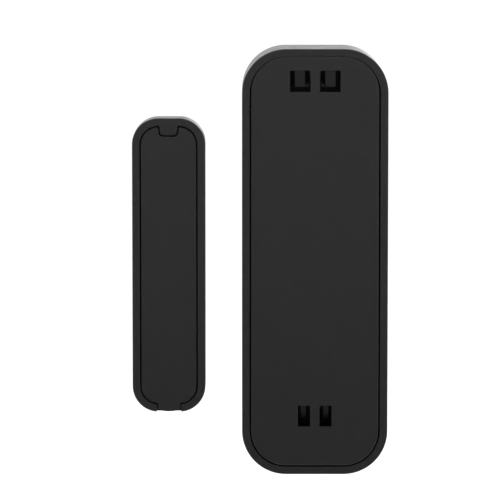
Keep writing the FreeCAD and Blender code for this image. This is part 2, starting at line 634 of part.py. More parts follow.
def chip_resistors():
    """Resistors of the board, in two rows."""
    width, length = CHIP
    row = [placed(x, up, width, length, CHIP_RESISTOR_HEIGHT) for x, up in CHIP_RESISTOR_SPOTS]
    turned = [placed(x, up, length, width, CHIP_RESISTOR_HEIGHT) for x, up in TURNED_RESISTOR_SPOTS]
    return row + turned


def antenna_coil():
    """Wound wire on two straight feet that stand on the board."""
    axis_y = BOARD_BACK + ANTENNA_HEIGHT
    wound = coil(-CHANNEL_X, axis_y, ANTENNA_LOW, ANTENNA_PITCH, ANTENNA_TURNS, ANTENNA_RADIUS, ANTENNA_WIRE)
    high = ANTENNA_LOW + ANTENNA_PITCH * ANTENNA_TURNS
    for x, z in ((ANTENNA_RADIUS - CHANNEL_X, ANTENNA_LOW), (-ANTENNA_RADIUS - CHANNEL_X, high)):
        wound = wound.fuse(pin_y(x, z, ANTENNA_WIRE / 2, axis_y, BOARD_BACK))
    return wound.Solids[0]


def reed_axis():
    return CHANNEL_X, BOARD_BACK + REED_HEIGHT


def reed_glass():
    x, y = reed_axis()
    half = REED_LENGTH / 2
    tube = pin_z(x, y, REED_DIAMETER / 2, REED_Z - half, REED_Z + half)
    tube = soften(tube, REED_GLASS_END, lambda p, t: abs(t.z) < 1e-6)
    gas = REED_CAVITY / 2
    tube = tube.cut(pin_z(x, y, REED_DIAMETER / 2 - REED_GLASS, REED_Z - gas, REED_Z + gas))
    tube = tube.cut(pin_z(x, y, REED_LEAD / 2 + SCREW_FIT, REED_Z - half - 1, REED_Z + half + 1))
    return one_solid(tube)


def lead(sign):
    """Round lead from the gas space out through the glass and down to the board."""
    x, y = reed_axis()
    start = REED_Z + sign * REED_CAVITY / 2
    turn = REED_Z + sign * (REED_LEAD_SPAN / 2 - REED_LEAD_BEND)
    end = REED_Z + sign * REED_LEAD_SPAN / 2
    slope = REED_LEAD_BEND * (1 - math.sqrt(0.5))
    run = Part.LineSegment(Vec(x, y, start), Vec(x, y, turn)).toShape()
    bend = Part.Arc(Vec(x, y, turn), Vec(x, y - slope, end - sign * slope),
                    Vec(x, y - REED_LEAD_BEND, end)).toShape()
    drop = Part.LineSegment(Vec(x, y - REED_LEAD_BEND, end), Vec(x, BOARD_BACK, end)).toShape()
    path = Part.Wire([run, bend, drop])
    ring = Part.Wire([Part.makeCircle(REED_LEAD / 2, Vec(x, y, start), Vec(0, 0, sign))])
    return path.makePipeShell([ring], True, True)


def blade(z0, z1, side):
    """Flat reed on one side of the contact gap."""
    x, y = reed_axis()
    width, thickness = REED_BLADE
    near = y + side * REED_BLADE_GAP / 2
    return block(x - width / 2, x + width / 2, near, near + side * thickness, z0, z1)


def reed_leads():
    """Both leads; the lower one carries the fixed blade."""
    fixed = blade(REED_Z - REED_CAVITY / 2, REED_Z + REED_OVERLAP / 2, 1)
    return [one_solid(lead(-1).fuse(fixed)), lead(1)]


def reed_moving_blade():
    return blade(REED_Z - REED_OVERLAP / 2, REED_Z + REED_CAVITY / 2 - REED_ROOT_GAP, -1)


# ---------------------------------------------------------------- tamper plunger and learn button
TAMPER_BODY_TOP = BOARD_BACK + TAMPER_BODY[2]
TAMPER_FLANGE_BACK = DECK_FRONT - TAMPER_TRAVEL - TAMPER_STOP_GAP


def tamper_switch_body():
    x, z = TAMPER_SPOT
    body = on_back(x, z, *TAMPER_BODY, SWITCH_EDGE)
    diameter, height = TAMPER_NUB
    return one_solid(body.fuse(pin_y(x, z, diameter / 2, TAMPER_BODY_TOP, TAMPER_BODY_TOP + height)))


def tamper_plunger():
    """Pin with a flange; at rest the mounting plate holds it in."""
    x, z = TAMPER_SPOT
    tip = -PLATE_THICKNESS - TAMPER_TO_PLATE
    foot = TAMPER_BODY_TOP + TAMPER_NUB[1] + TAMPER_NUB_GAP
    shaft = round_ring(pin_y(x, z, TAMPER_PIN / 2, foot, tip), TAMPER_PIN / 4, tip)
    flange = pin_y(x, z, TAMPER_FLANGE / 2, TAMPER_FLANGE_BACK, TAMPER_FLANGE_BACK - TAMPER_FLANGE_HEIGHT)
    return one_solid(shaft.fuse(flange))


def tamper_spring():
    """Compression spring between the switch and the plunger's flange."""
    x, z = TAMPER_SPOT
    seat = TAMPER_WIRE / 2 + TAMPER_SEAT_GAP
    low = TAMPER_BODY_TOP + seat
    high = TAMPER_FLANGE_BACK - TAMPER_FLANGE_HEIGHT - seat
    radius = (TAMPER_FLANGE - TAMPER_WIRE) / 2
    wound = coil(0, 0, 0, (high - low) / TAMPER_COILS, TAMPER_COILS, radius, TAMPER_WIRE)
    return turned_to_y(wound, x, z, low)


def learn_switch_body():
    return on_back(*LEARN_SPOT, *LEARN_BODY, SWITCH_EDGE)


def learn_button():
    """Button of the learn switch, reached through the deck with the unit off its plate."""
    x, z = LEARN_SPOT
    foot = BOARD_BACK + LEARN_BODY[2] + LEARN_TRAVEL + LEARN_CAP_GAP
    cap = pin_y(x, z, LEARN_CAP / 2, foot, foot + LEARN_CAP_HEIGHT)
    return one_solid(cap.fuse(pin_y(x, z, LEARN_PIN / 2, foot, DECK_BACK - LEARN_RECESS)))


# ---------------------------------------------------------------- magnet unit
MG_INNER_TOP = MG_TOP - MG_WALL
MG_INNER_BOTTOM = MG_BOTTOM + MG_WALL


def tapered_tongue(extra, back, front):
    """Tongue in the cover's top rim, grown by extra at its sides and tip."""
    root = TONGUE_ROOT / 2 + extra
    tip = TONGUE_TIP / 2 + extra
    low = MG_INNER_TOP - TONGUE_LENGTH - extra
    high = MG_INNER_TOP + MG_WALL / 2
    solid = prism([(MG_X - root, back, high), (MG_X - root, back, MG_INNER_TOP), (MG_X - tip, back, low),
                   (MG_X + tip, back, low), (MG_X + root, back, MG_INNER_TOP), (MG_X + root, back, high)],
                  (0, front - back, 0))
    rounding = TONGUE_ROUND + extra
    return soften(solid, rounding, lambda p, t: abs(t.y) > 0.999 and abs(p.z - low) < 1e-6)


def magnet_base():
    """Base plate with the notch, the pry tab and a cradle for the magnet."""
    inset = 2 * (MG_WALL + PLATE_GAP)
    corner = MG_CORNER - MG_WALL - PLATE_GAP
    plate = slab(MG_X, MG_Z, MG_WIDTH - inset, MG_LENGTH - inset, corner, 0, -MG_PLATE)
    half = PRY_TAB_WIDTH / 2
    end = MG_BOTTOM + PRY_TAB_RECESS
    tab = block(MG_X - half, MG_X + half, 0, -MG_PLATE, end, MG_INNER_BOTTOM + corner)
    tab = tab.common(pin_y(MG_X, end + PRY_TAB_ROUND, PRY_TAB_ROUND, 0, -MG_PLATE))
    plate = plate.fuse(tab)
    plate = plate.cut(tapered_tongue(PLATE_GAP, 1, -MG_PLATE - 1))
    near = MAGNET_WIDTH / 2 + MAGNET_FIT
    stop = MAGNET_LENGTH / 2 + MAGNET_FIT
    top = -MG_PLATE - CRADLE_HEIGHT
    run = MAGNET_LENGTH / 2 - CRADLE_END_GAP
    for side in (-1, 1):
        plate = plate.fuse(block(MG_X + side * near, MG_X + side * (near + CRADLE_WALL), -MG_PLATE, top,
                                 MG_Z - run, MG_Z + run))
        plate = plate.fuse(block(MG_X - near / 2, MG_X + near / 2, -MG_PLATE, top,
                                 MG_Z + side * stop, MG_Z + side * (stop + CRADLE_WALL)))
    return one_solid(plate)


def magnet_cover():
    """Cover shell with the tongue at its top and the slot for the pry tab at its bottom."""
    back = -MG_RIM_SETBACK
    cover = shell(MG_X, MG_Z, MG_WIDTH, MG_LENGTH, MG_CORNER, MG_WALL, back,
                  -MG_DEPTH + MG_FRONT_WALL, -MG_DEPTH, MG_FRONT_EDGE)
    cover = cover.fuse(tapered_tongue(0, back, -MG_PLATE))
    half = PRY_TAB_WIDTH / 2 + PLATE_GAP
    cover = cover.cut(block(MG_X - half, MG_X + half, 1, -MG_PLATE - PLATE_GAP,
                            MG_BOTTOM - 1, MG_INNER_BOTTOM + MG_WALL))
    return one_solid(cover)


def bar_magnet():
    back = -MG_PLATE - MAGNET_FIT
    half_width = MAGNET_WIDTH / 2
    half_length = MAGNET_LENGTH / 2
    bar = block(MG_X - half_width, MG_X + half_width, back, back - MAGNET_THICKNESS,
                MG_Z - half_length, MG_Z + half_length)
    return bar.makeChamfer(MAGNET_CHAMFER, bar.Edges)


# ---------------------------------------------------------------- every node, by name
NODES = {
    "mounting_plate": mounting_plate,
    "front_housing": front_housing,
    "light_pipe": light_pipe,
    "inner_frame": inner_frame,
    "snap_hooks": snap_hooks,
    "frame_screws": frame_screws,
    "battery_cell": battery_cell,
    "battery_positive_contact": battery_positive_contact,
    "battery_negative_spring": battery_negative_spring,
    "circuit_board": circuit_board,
    "microcontroller": microcontroller,
    "radio_shield_can": radio_shield_can,
    "crystal": crystal,
    "voltage_regulator": voltage_regulator,
    "boost_inductor": boost_inductor,
    "storage_capacitor": storage_capacitor,
    "chip_capacitors": chip_capacitors,
    "chip_resistors": chip_resistors,
    "status_led": status_led,
    "antenna_coil": antenna_coil,
    "reed_glass": reed_glass,
    "reed_leads": reed_leads,
    "reed_moving_blade": reed_moving_blade,
    "tamper_switch_body": tamper_switch_body,
    "tamper_plunger": tamper_plunger,
    "tamper_spring": tamper_spring,
    "learn_switch_body": learn_switch_body,
    "learn_button": learn_button,
    "magnet_base": magnet_base,
    "magnet_cover": magnet_cover,
    "bar_magnet": bar_magnet,
}

os.makedirs("parts", exist_ok=True)
for name, make in NODES.items():
    made = make()
    shape = Part.makeCompound(made) if isinstance(made, list) else made
    shape.exportStep(os.path.join("parts", name + ".step"))
    print(f"{name}: {len(shape.Solids)} solid(s), volume {shape.Volume:.2f} mm3, valid {shape.isValid()}")
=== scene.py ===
import math

import bmesh
import bpy
from bpy.props import FloatProperty, FloatVectorProperty, IntProperty, PointerProperty
from bpy.types import Operator, Panel, PropertyGroup
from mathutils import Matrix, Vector


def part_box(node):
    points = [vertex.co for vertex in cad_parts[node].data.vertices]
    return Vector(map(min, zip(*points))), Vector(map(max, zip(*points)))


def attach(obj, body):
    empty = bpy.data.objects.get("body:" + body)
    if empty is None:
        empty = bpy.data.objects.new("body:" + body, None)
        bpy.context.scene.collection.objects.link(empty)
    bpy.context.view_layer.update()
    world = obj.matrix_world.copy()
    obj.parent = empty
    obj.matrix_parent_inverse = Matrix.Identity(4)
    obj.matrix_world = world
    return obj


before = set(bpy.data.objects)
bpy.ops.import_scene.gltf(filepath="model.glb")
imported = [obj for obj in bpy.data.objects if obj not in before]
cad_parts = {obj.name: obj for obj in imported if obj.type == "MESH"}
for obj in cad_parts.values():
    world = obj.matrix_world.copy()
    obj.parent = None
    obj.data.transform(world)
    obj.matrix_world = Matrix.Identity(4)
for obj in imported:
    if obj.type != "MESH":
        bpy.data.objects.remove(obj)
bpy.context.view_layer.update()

bl_info = {
    "name": "Door Contact Looks",
    "version": (1, 0, 0),
    "blender": (4, 5, 0),
    "location": "3D View > Sidebar > Door Contact",
    "description": "Finishes, small fittings and stage for a two-part wireless door contact",
    "category": "Object",
}

MM = 0.001
# corner radii seen along Y, in millimetres
HOUSING_CORNER = 7.4
COVER_CORNER = 4.4
PLATE_CORNER = 5.85
BASE_CORNER = 2.88
CAMERA_AIM = Vector((10.90, 0.0, 2.203)) * MM
CAMERA_TILT = math.radians(5.727)

BOARD_LOW, BOARD_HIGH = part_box("circuit_board")
HOUSING_LOW, HOUSING_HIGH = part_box("front_housing")
COVER_LOW, COVER_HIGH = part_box("magnet_cover")
PLATE_LOW, PLATE_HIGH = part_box("mounting_plate")
CELL_LOW, CELL_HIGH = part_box("battery_cell")


# ---------------------------------------------------------------- shader maths
class Field:
    """One output socket. Arithmetic on it adds Math nodes to its finish."""

    def __init__(self, finish, socket):
        self.finish = finish
        self.socket = socket

    def __add__(self, other):
        return self.finish.maths("ADD", self, other)

    __radd__ = __add__

    def __sub__(self, other):
        return self.finish.maths("SUBTRACT", self, other)

    def __rsub__(self, other):
        return self.finish.maths("SUBTRACT", other, self)

    def __mul__(self, other):
        return self.finish.maths("MULTIPLY", self, other)

    __rmul__ = __mul__

    def __truediv__(self, other):
        return self.finish.maths("DIVIDE", self, other)

    def __rtruediv__(self, other):
        return self.finish.maths("DIVIDE", other, self)

    def __neg__(self):
        return self * -1.0

    def __abs__(self):
        return self.finish.maths("ABSOLUTE", self)


class Finish:
    """The node tree of one material. Places are in millimetres of the object's own frame."""

    def __init__(self, name):
        self.material = bpy.data.materials.new(name)
        self.material.use_nodes = True
        self.tree = self.material.node_tree
        self.tree.nodes.clear()
        own = self.node("ShaderNodeTexCoord", output="Object")
        self.place = self.node("ShaderNodeVectorMath", {"operation": "SCALE"}, {0: own, "Scale": 1 / MM})
        self.x = self.node("ShaderNodeSeparateXYZ", inputs={0: self.place}, output="X")
        self.y = self.node("ShaderNodeSeparateXYZ", inputs={0: self.place}, output="Y")
        self.z = self.node("ShaderNodeSeparateXYZ", inputs={0: self.place}, output="Z")

    def node(self, kind, settings=None, inputs=None, output=0):
        """Add a node of a type: its settings first, then the values or links of its sockets."""
        made = self.tree.nodes.new(kind)
        for key, value in (settings or {}).items():
            if key == "stops":
                for stop in value[2:]:
                    made.color_ramp.elements.new(stop[0])
                for element, (position, colour) in zip(made.color_ramp.elements, value):
                    element.position = position
                    element.color = (*colour, 1.0)
            else:
                setattr(made, key, value)
        for key, value in (inputs or {}).items():
            if isinstance(value, Field):
                self.tree.links.new(value.socket, made.inputs[key])
            elif value is not None:
                made.inputs[key].default_value = value
        return Field(self, made.outputs[output])

    def maths(self, operation, *terms):
        return self.node("ShaderNodeMath", {"operation": operation}, dict(enumerate(terms)))

    def within(self, value, low, high):
        """0 below low, 1 above high, a smooth step between them."""
        settings = {"interpolation_type": "SMOOTHSTEP"}
        return self.node("ShaderNodeMapRange", settings, {"Value": value, "From Min": low, "From Max": high})

    def lesser(self, a, b):
        return self.maths("MINIMUM", a, b)

    def greater(self, a, b):
        return self.maths("MAXIMUM", a, b)

    def length(self, a, b):
        return self.maths("SQRT", a * a + b * b)

    def stretched(self, stretch):
        return self.node("ShaderNodeVectorMath", {"operation": "MULTIPLY"}, {0: self.place, 1: stretch})

    def noise(self, size, detail=2.0, stretch=None, rough=0.5):
        """Soft noise about 0.5 whose lumps are about size millimetres across."""
        place = self.place if stretch is None else self.stretched(stretch)
        inputs = {"Vector": place, "Scale": 1 / size, "Detail": detail, "Roughness": rough}
        return self.node("ShaderNodeTexNoise", {}, inputs)

    def cells(self, size, feature="F1", output="Distance", stretch=None):
        """Voronoi cells about size millimetres across."""
        place = self.place if stretch is None else self.stretched(stretch)
        return self.node("ShaderNodeTexVoronoi", {"feature": feature}, {"Vector": place, "Scale": 1 / size},
                         output)

    def chance(self, steps):
        """A number from 0 to 1, the same all over each block of the given size."""
        snapped = self.node("ShaderNodeVectorMath", {"operation": "SNAP"}, {0: self.place, 1: steps})
        return self.node("ShaderNodeTexWhiteNoise", {"noise_dimensions": "3D"}, {"Vector": snapped})

    def tint(self, share, below, above):
        """Colour that goes from below to above as share goes from 0 to 1."""
        below = below if isinstance(below, Field) else (*below, 1.0)
        above = above if isinstance(above, Field) else (*above, 1.0)
        return self.node("ShaderNodeMix", {"data_type": "RGBA"}, {0: share, 6: below, 7: above}, 2)

    def relief(self, height, depth, under=None):
        """Normal of a relief that is depth millimetres deep."""
        return self.node("ShaderNodeBump", {}, {"Height": height, "Distance": depth * MM, "Normal": under})

    def outline(self, centre, size, corner):
        """Distance outside a rounded rectangle seen along Y, in millimetres; negative inside it."""
        across = abs(self.x - centre[0]) - (size[0] / 2 - corner)
        along = abs(self.z - centre[1]) - (size[1] / 2 - corner)
        outside = self.length(self.greater(across, 0.0), self.greater(along, 0.0))
        return outside + self.lesser(self.greater(across, along), 0.0) - corner

    def surface(self, **sockets):
        """Finish the material with one Principled shader, its sockets named with underscores."""
        inputs = {name.replace("_", " "): value for name, value in sockets.items()}
        for key in ("Base Color", "Emission Color", "Specular Tint"):
            if key in inputs and not isinstance(inputs[key], Field):
                inputs[key] = (*inputs[key], 1.0)
        shader = self.node("ShaderNodeBsdfPrincipled", {}, inputs)
        end = self.tree.nodes.new("ShaderNodeOutputMaterial")
        self.tree.links.new(shader.socket, end.inputs["Surface"])
        return self.material


def shade(colour, factor):
    return tuple(min(1.0, part * factor) for part in colour)


def apply_finish(material, *nodes):
    """Put a material into every slot of the named frame nodes."""
    for name in nodes:
        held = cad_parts[name].data.materials
        if not len(held):
            held.append(material)
        for index in range(len(held)):
            held[index] = material


# ---------------------------------------------------------------- mesh code
class Maker:
    """Collects one piece's faces, then makes the object from them."""

    def __init__(self):
        self.mesh = bmesh.new()

    def loft(self, rings, closed=True, caps=True):
        """Skin over rings of points that all have the same count."""
        rows = [[self.mesh.verts.new(point) for point in ring] for ring in rings]
        count = len(rows[0])
        last = count if closed else count - 1
        for lower, upper in zip(rows, rows[1:]):
            for i in range(last):
                j = (i + 1) % count
                self.mesh.faces.new((lower[i], lower[j], upper[j], upper[i]))
        if caps:
            self.mesh.faces.new(list(reversed(rows[0])))
            self.mesh.faces.new(rows[-1])
        return rows

    def lathe(self, centre, axis, profile, sides):
        """Turn (radius, height) pairs about an axis from a centre."""
        axis = Vector(axis).normalized()
        across = axis.orthogonal().normalized()
        other = axis.cross(across)
        turns = [2 * math.pi * i / sides for i in range(sides)]
        self.loft([[Vector(centre) + axis * height + (across * math.cos(a) + other * math.sin(a)) * radius
                    for a in turns] for radius, height in profile])

    def strip(self, path, thickness, width, side):
        """Bent flat strip: a path of points, thickness in the path's plane, width along side."""
        side = Vector(side).normalized()
        points = [Vector(p) for p in path]
        rings = []
        for i, point in enumerate(points):
            ahead = points[min(i + 1, len(points) - 1)] - points[max(i - 1, 0)]
            normal = side.cross(ahead).normalized()
            edge = thickness * 0.18
            ring = []
            for n, s in ((1, 1), (1, -1), (-1, -1), (-1, 1)):
                tip = normal * n * thickness / 2 + side * s * width / 2
                ring.append((tip - normal * n * edge, tip - side * s * edge)[(n * s < 0)])
                ring.append((tip - side * s * edge, tip - normal * n * edge)[(n * s < 0)])
            rings.append([point + offset for offset in ring])
        self.loft(rings)

    def piece(self, name, body, material, smooth=35.0):
        """Close the mesh and make it ride on a body."""
        bmesh.ops.recalc_face_normals(self.mesh, faces=self.mesh.faces)
        data = bpy.data.meshes.new(name)
        self.mesh.to_mesh(data)
        self.mesh.free()
        data.materials.append(material)
        made = bpy.data.objects.new(name, data)
        bpy.context.scene.collection.objects.link(made)
        data.polygons.foreach_set("use_smooth", [True] * len(data.polygons))
        data.set_sharp_from_angle(angle=math.radians(smooth))
        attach(made, body)
        return made


def solids_of(node):
    """Lowest and highest corner of each separate solid of a frame node."""
    mesh = bmesh.new()
    mesh.from_mesh(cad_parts[node].data)
    bmesh.ops.remove_doubles(mesh, verts=mesh.verts, dist=MM * 0.001)
    found = []
    seen = set()
    for first in mesh.verts:
        if first in seen:
            continue
        seen.add(first)
        waiting = [first]
        points = []
        while waiting:
            vert = waiting.pop()
            points.append(vert.co.copy())
            for edge in vert.link_edges:
                other = edge.other_vert(vert)
                if other not in seen:
                    seen.add(other)
                    waiting.append(other)
        low = Vector([min(p[i] for p in points) for i in range(3)])
        high = Vector([max(p[i] for p in points) for i in range(3)])
        found.append((low, high))
    mesh.free()
    return sorted(found, key=lambda box: (round(box[0].z, 5), round(box[0].x, 5)))


# ---------------------------------------------------------------- sizes and colours
def colour(name, text, default):
    return FloatVectorProperty(name=name, description=text, default=default, subtype="COLOR", size=3,
                               min=0.0, max=1.0)


def distance(name, text, default):
    return FloatProperty(name=name, description=text, default=default, subtype="DISTANCE", unit="LENGTH",
                         min=0.0, precision=5)


def share(name, text, default):
    return FloatProperty(name=name, description=text, default=default, subtype="FACTOR", min=0.0, max=1.0)


class MouldingLook(PropertyGroup):
    case: colour("Case", "Black ABS of the housing and the magnet's cover", (0.0092, 0.0092, 0.0095))
    plates: colour("Plates", "Black ABS of the two wall plates", (0.0088, 0.0088, 0.0090))
    inside: colour("Frame", "Black of the inner frame and its snap hooks", (0.0070, 0.0070, 0.0072))
    grain: distance("Grain", "Size of the spark-eroded grain", 0.16 * MM)
    depth: distance("Grain depth", "Depth of the spark-eroded grain", 0.0035 * MM)
    gloss: share("Roughness", "Roughness of the moulded faces", 0.42)


class PowerLook(PropertyGroup):
    sleeve: colour("Sleeve", "Shrink sleeve of the cell", (0.33, 0.34, 0.36))
    band: colour("Band", "Band round the sleeve's positive end", (0.055, 0.10, 0.16))
    steel: colour("Can", "Bare ends of the cell's can", (0.60, 0.59, 0.57))
    nickel: colour("Contacts", "Nickel-plated contacts and their spring", (0.66, 0.63, 0.57))
    ring: distance("Seal ring", "Radius of the seal ring at the nub", 3.4 * MM)


class BoardLook(PropertyGroup):
    mask: colour("Solder mask", "Green mask over bare board", (0.010, 0.085, 0.030))
    track: colour("Tracks", "Green mask over copper", (0.022, 0.150, 0.052))
    core: colour("Core", "Glass-fibre core at the board's edges", (0.42, 0.38, 0.22))
    solder: colour("Solder", "Tin solder of joints and chip ends", (0.62, 0.62, 0.61))
    pitch: distance("Lead pitch", "Pitch of the processor's leads", 0.5 * MM)
    leads: IntProperty(name="Leads per side", description="Processor leads on each side", default=8, min=1,
                       max=9)


class SwitchLook(PropertyGroup):
    body: colour("Switch body", "Black body of both small switches", (0.018, 0.018, 0.019))
    acetal: colour("Plunger", "White acetal of plunger and button", (0.74, 0.73, 0.69))
    glass: colour("Reed glass", "Green glass of the reed switch", (0.50, 0.72, 0.58))
    alloy: colour("Reeds", "Plated nickel-iron reeds", (0.64, 0.62, 0.58))


class MagnetLook(PropertyGroup):
    ferrite: colour("Magnet", "Sintered ferrite of the bar magnet", (0.045, 0.043, 0.042))
    grind: distance("Grinding marks", "Spacing of the grinding marks", 0.22 * MM)


class StageLook(PropertyGroup):
    floor: colour("Floor", "Pale floor", (0.86, 0.86, 0.86))
    drop: distance("Floor below", "How far the floor lies below the wall unit's middle", 0.25)
    room: FloatProperty(name="Room light", description="Strength of the room's even light", default=1.25,
                        min=0.0)
    top: FloatProperty(name="Top light", description="Power of the softbox overhead", default=10.0,
                       unit="POWER")
    front: FloatProperty(name="Room-side light", description="Power of the softbox at the room side",
                         default=8.0, unit="POWER")
    screen: share("Screen", "Grey of the screen behind the camera", 0.55)
    shade: share("Shade", "Grey of the low shade in front of the units", 0.02)
    lens: FloatProperty(name="Lens", description="Focal length of the camera", default=261.88, unit="CAMERA")
    distance: distance("Camera distance", "From the wall plane to the camera", 0.6095)


# ---------------------------------------------------------------- moulded plastic
def moulded(name, base, look, outlines, flow):
    """Spark-textured ABS with faint flow marks; near the outer edges it is smoother, as handling polishes it,
    and its colour is lighter there, a painted highlight along the rims.

    outlines is a list of (centre, size, corner) seen along Y, in millimetres, and flow the way the melt ran.
    """
    f = Finish(name)
    size = look.grain / MM
    grain = f.noise(size, 3.0, rough=0.6)
    pits = f.cells(size * 1.6, "SMOOTH_F1")
    flowed = f.noise(7.0, 2.0, flow)
    cloud = f.noise(16.0, 1.0)
    rim_polish_and_painted_highlight = None
    for centre, extent, corner in outlines:
        edge = f.within(f.outline(centre, extent, corner), -0.32, -0.05)
        rim_polish_and_painted_highlight = edge if rim_polish_and_painted_highlight is None else f.greater(rim_polish_and_painted_highlight, edge)
    rim_polish_and_painted_highlight = rim_polish_and_painted_highlight * f.within(f.noise(1.3, 3.0), 0.38, 0.62)
    # the rim mask lightens the colour near the outer edges: a painted highlight; in the roughness below it
    # stands for polish from handling
    tone = 0.5 + (grain - 0.5) * 0.5 + (flowed - 0.5) * 0.35 + (cloud - 0.5) * 0.3 + rim_polish_and_painted_highlight * 0.25
    rough = look.gloss + (cloud - 0.5) * 0.06 + (flowed - 0.5) * 0.05 - rim_polish_and_painted_highlight * 0.07 + (grain - 0.5) * 0.05
    relief = f.relief(grain * 0.6 + pits * 0.4, look.depth / MM)
    return f.surface(Base_Color=f.tint(tone, shade(base, 0.86), shade(base, 1.16)), Roughness=rough,
                     Normal=relief, IOR=1.45)


def outline_of(low, high, corner):
    """Middle, size and corner radius of a box seen along Y, in millimetres."""
    centre = ((low.x + high.x) / 2 / MM, (low.z + high.z) / 2 / MM)
    return centre, ((high.x - low.x) / MM, (high.z - low.z) / MM), corner


class CONTACT_OT_case(Operator):
    """Finish the transmitter's housing and the magnet's cover."""

    bl_idname = "contact.case"
    bl_label = "Case mouldings"

    def execute(self, context):
        look = context.scene.contact_mouldings
        shapes = [outline_of(HOUSING_LOW, HOUSING_HIGH, HOUSING_CORNER),
                  outline_of(COVER_LOW, COVER_HIGH, COVER_CORNER)]
        material = moulded("case_black_abs", look.case, look, shapes, (1.0, 0.6, 0.25))
        apply_finish(material, "front_housing", "magnet_cover")
        return {"FINISHED"}


class CONTACT_OT_plates(Operator):
    """Finish the two wall plates."""

    bl_idname = "contact.plates"
    bl_label = "Wall plates"

    def execute(self, context):
        look = context.scene.contact_mouldings
        base_low, base_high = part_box("magnet_base")
        shapes = [outline_of(PLATE_LOW, PLATE_HIGH, PLATE_CORNER),
                  outline_of(base_low, base_high, BASE_CORNER)]
        material = moulded("plate_black_abs", look.plates, look, shapes, (0.8, 1.0, 0.2))
        apply_finish(material, "mounting_plate", "magnet_base")
        return {"FINISHED"}


class CONTACT_OT_inner_frame(Operator):
    """Finish the inner frame and its snap hooks: smoother plastic with knock-out marks."""

    bl_idname = "contact.inner_frame"
    bl_label = "Inner frame and hooks"

    def execute(self, context):
        look = context.scene.contact_mouldings
        f = Finish("frame_black_abs")
        polish = f.noise(0.5, 2.0, (1.0, 1.0, 0.12))
        fine = f.noise(0.12, 2.0)
        cloud = f.noise(9.0, 2.0)
        marks = f.cells(9.5, "F1")
        knock_out = f.within(marks * 9.5, 1.05, 1.15) - f.within(marks * 9.5, 1.25, 1.35)
        tone = cloud * 0.6 + fine * 0.4
        relief = f.relief(fine * 0.4 + polish * 0.3 - knock_out * 0.3, 0.006)
        material = f.surface(Base_Color=f.tint(tone, shade(look.inside, 0.8), shade(look.inside, 1.2)),
                             Roughness=0.36 + (polish - 0.5) * 0.1 + knock_out * 0.06, Normal=relief,
                             IOR=1.42)
        apply_finish(material, "inner_frame", "snap_hooks")
        return {"FINISHED"}


# ---------------------------------------------------------------- metals
def plated(name, base, rough, lay=(1.0, 1.0, 1.0), tarnish=0.2, grain=0.08, depth=0.002):
    """Plated or drawn metal: marks run along the lay, with a faint tarnish."""
    f = Finish(name)
    drawn = f.noise(grain, 2.0, lay)
    stain = f.noise(1.6, 3.0)
    dull = f.within(stain, 0.45, 0.75)
    colours = f.tint(dull * tarnish + (drawn - 0.5) * 0.15, base, shade(base, 0.55))
    return f.surface(Base_Color=colours, Metallic=1.0, Roughness=rough + dull * 0.12 + (drawn - 0.5) * 0.14,
                     Normal=f.relief(drawn, depth))


class CONTACT_OT_screws(Operator):
    """Finish the frame screws with turned rings about each one's axis."""

    bl_idname = "contact.screws"
    bl_label = "Screws"

    def execute(self, context):
        f = Finish("screw_steel_turned")
        nearest = None
        for low, high in solids_of("frame_screws"):
            middle = (low + high) / 2 / MM
            reach = f.length(f.x - middle.x, f.z - middle.z)
            nearest = reach if nearest is None else f.lesser(nearest, reach)
        rings = f.maths("SINE", nearest * 38.0)
        stain = f.noise(0.7, 3.0)
        colours = f.tint(f.within(stain, 0.35, 0.75), (0.56, 0.55, 0.52), (0.40, 0.385, 0.35))
        material = f.surface(Base_Color=colours, Metallic=1.0, Roughness=0.3 + (stain - 0.5) * 0.22,
                             Normal=f.relief(rings * 0.5 + f.noise(0.05) * 0.5, 0.003))
        apply_finish(material, "frame_screws")
        return {"FINISHED"}


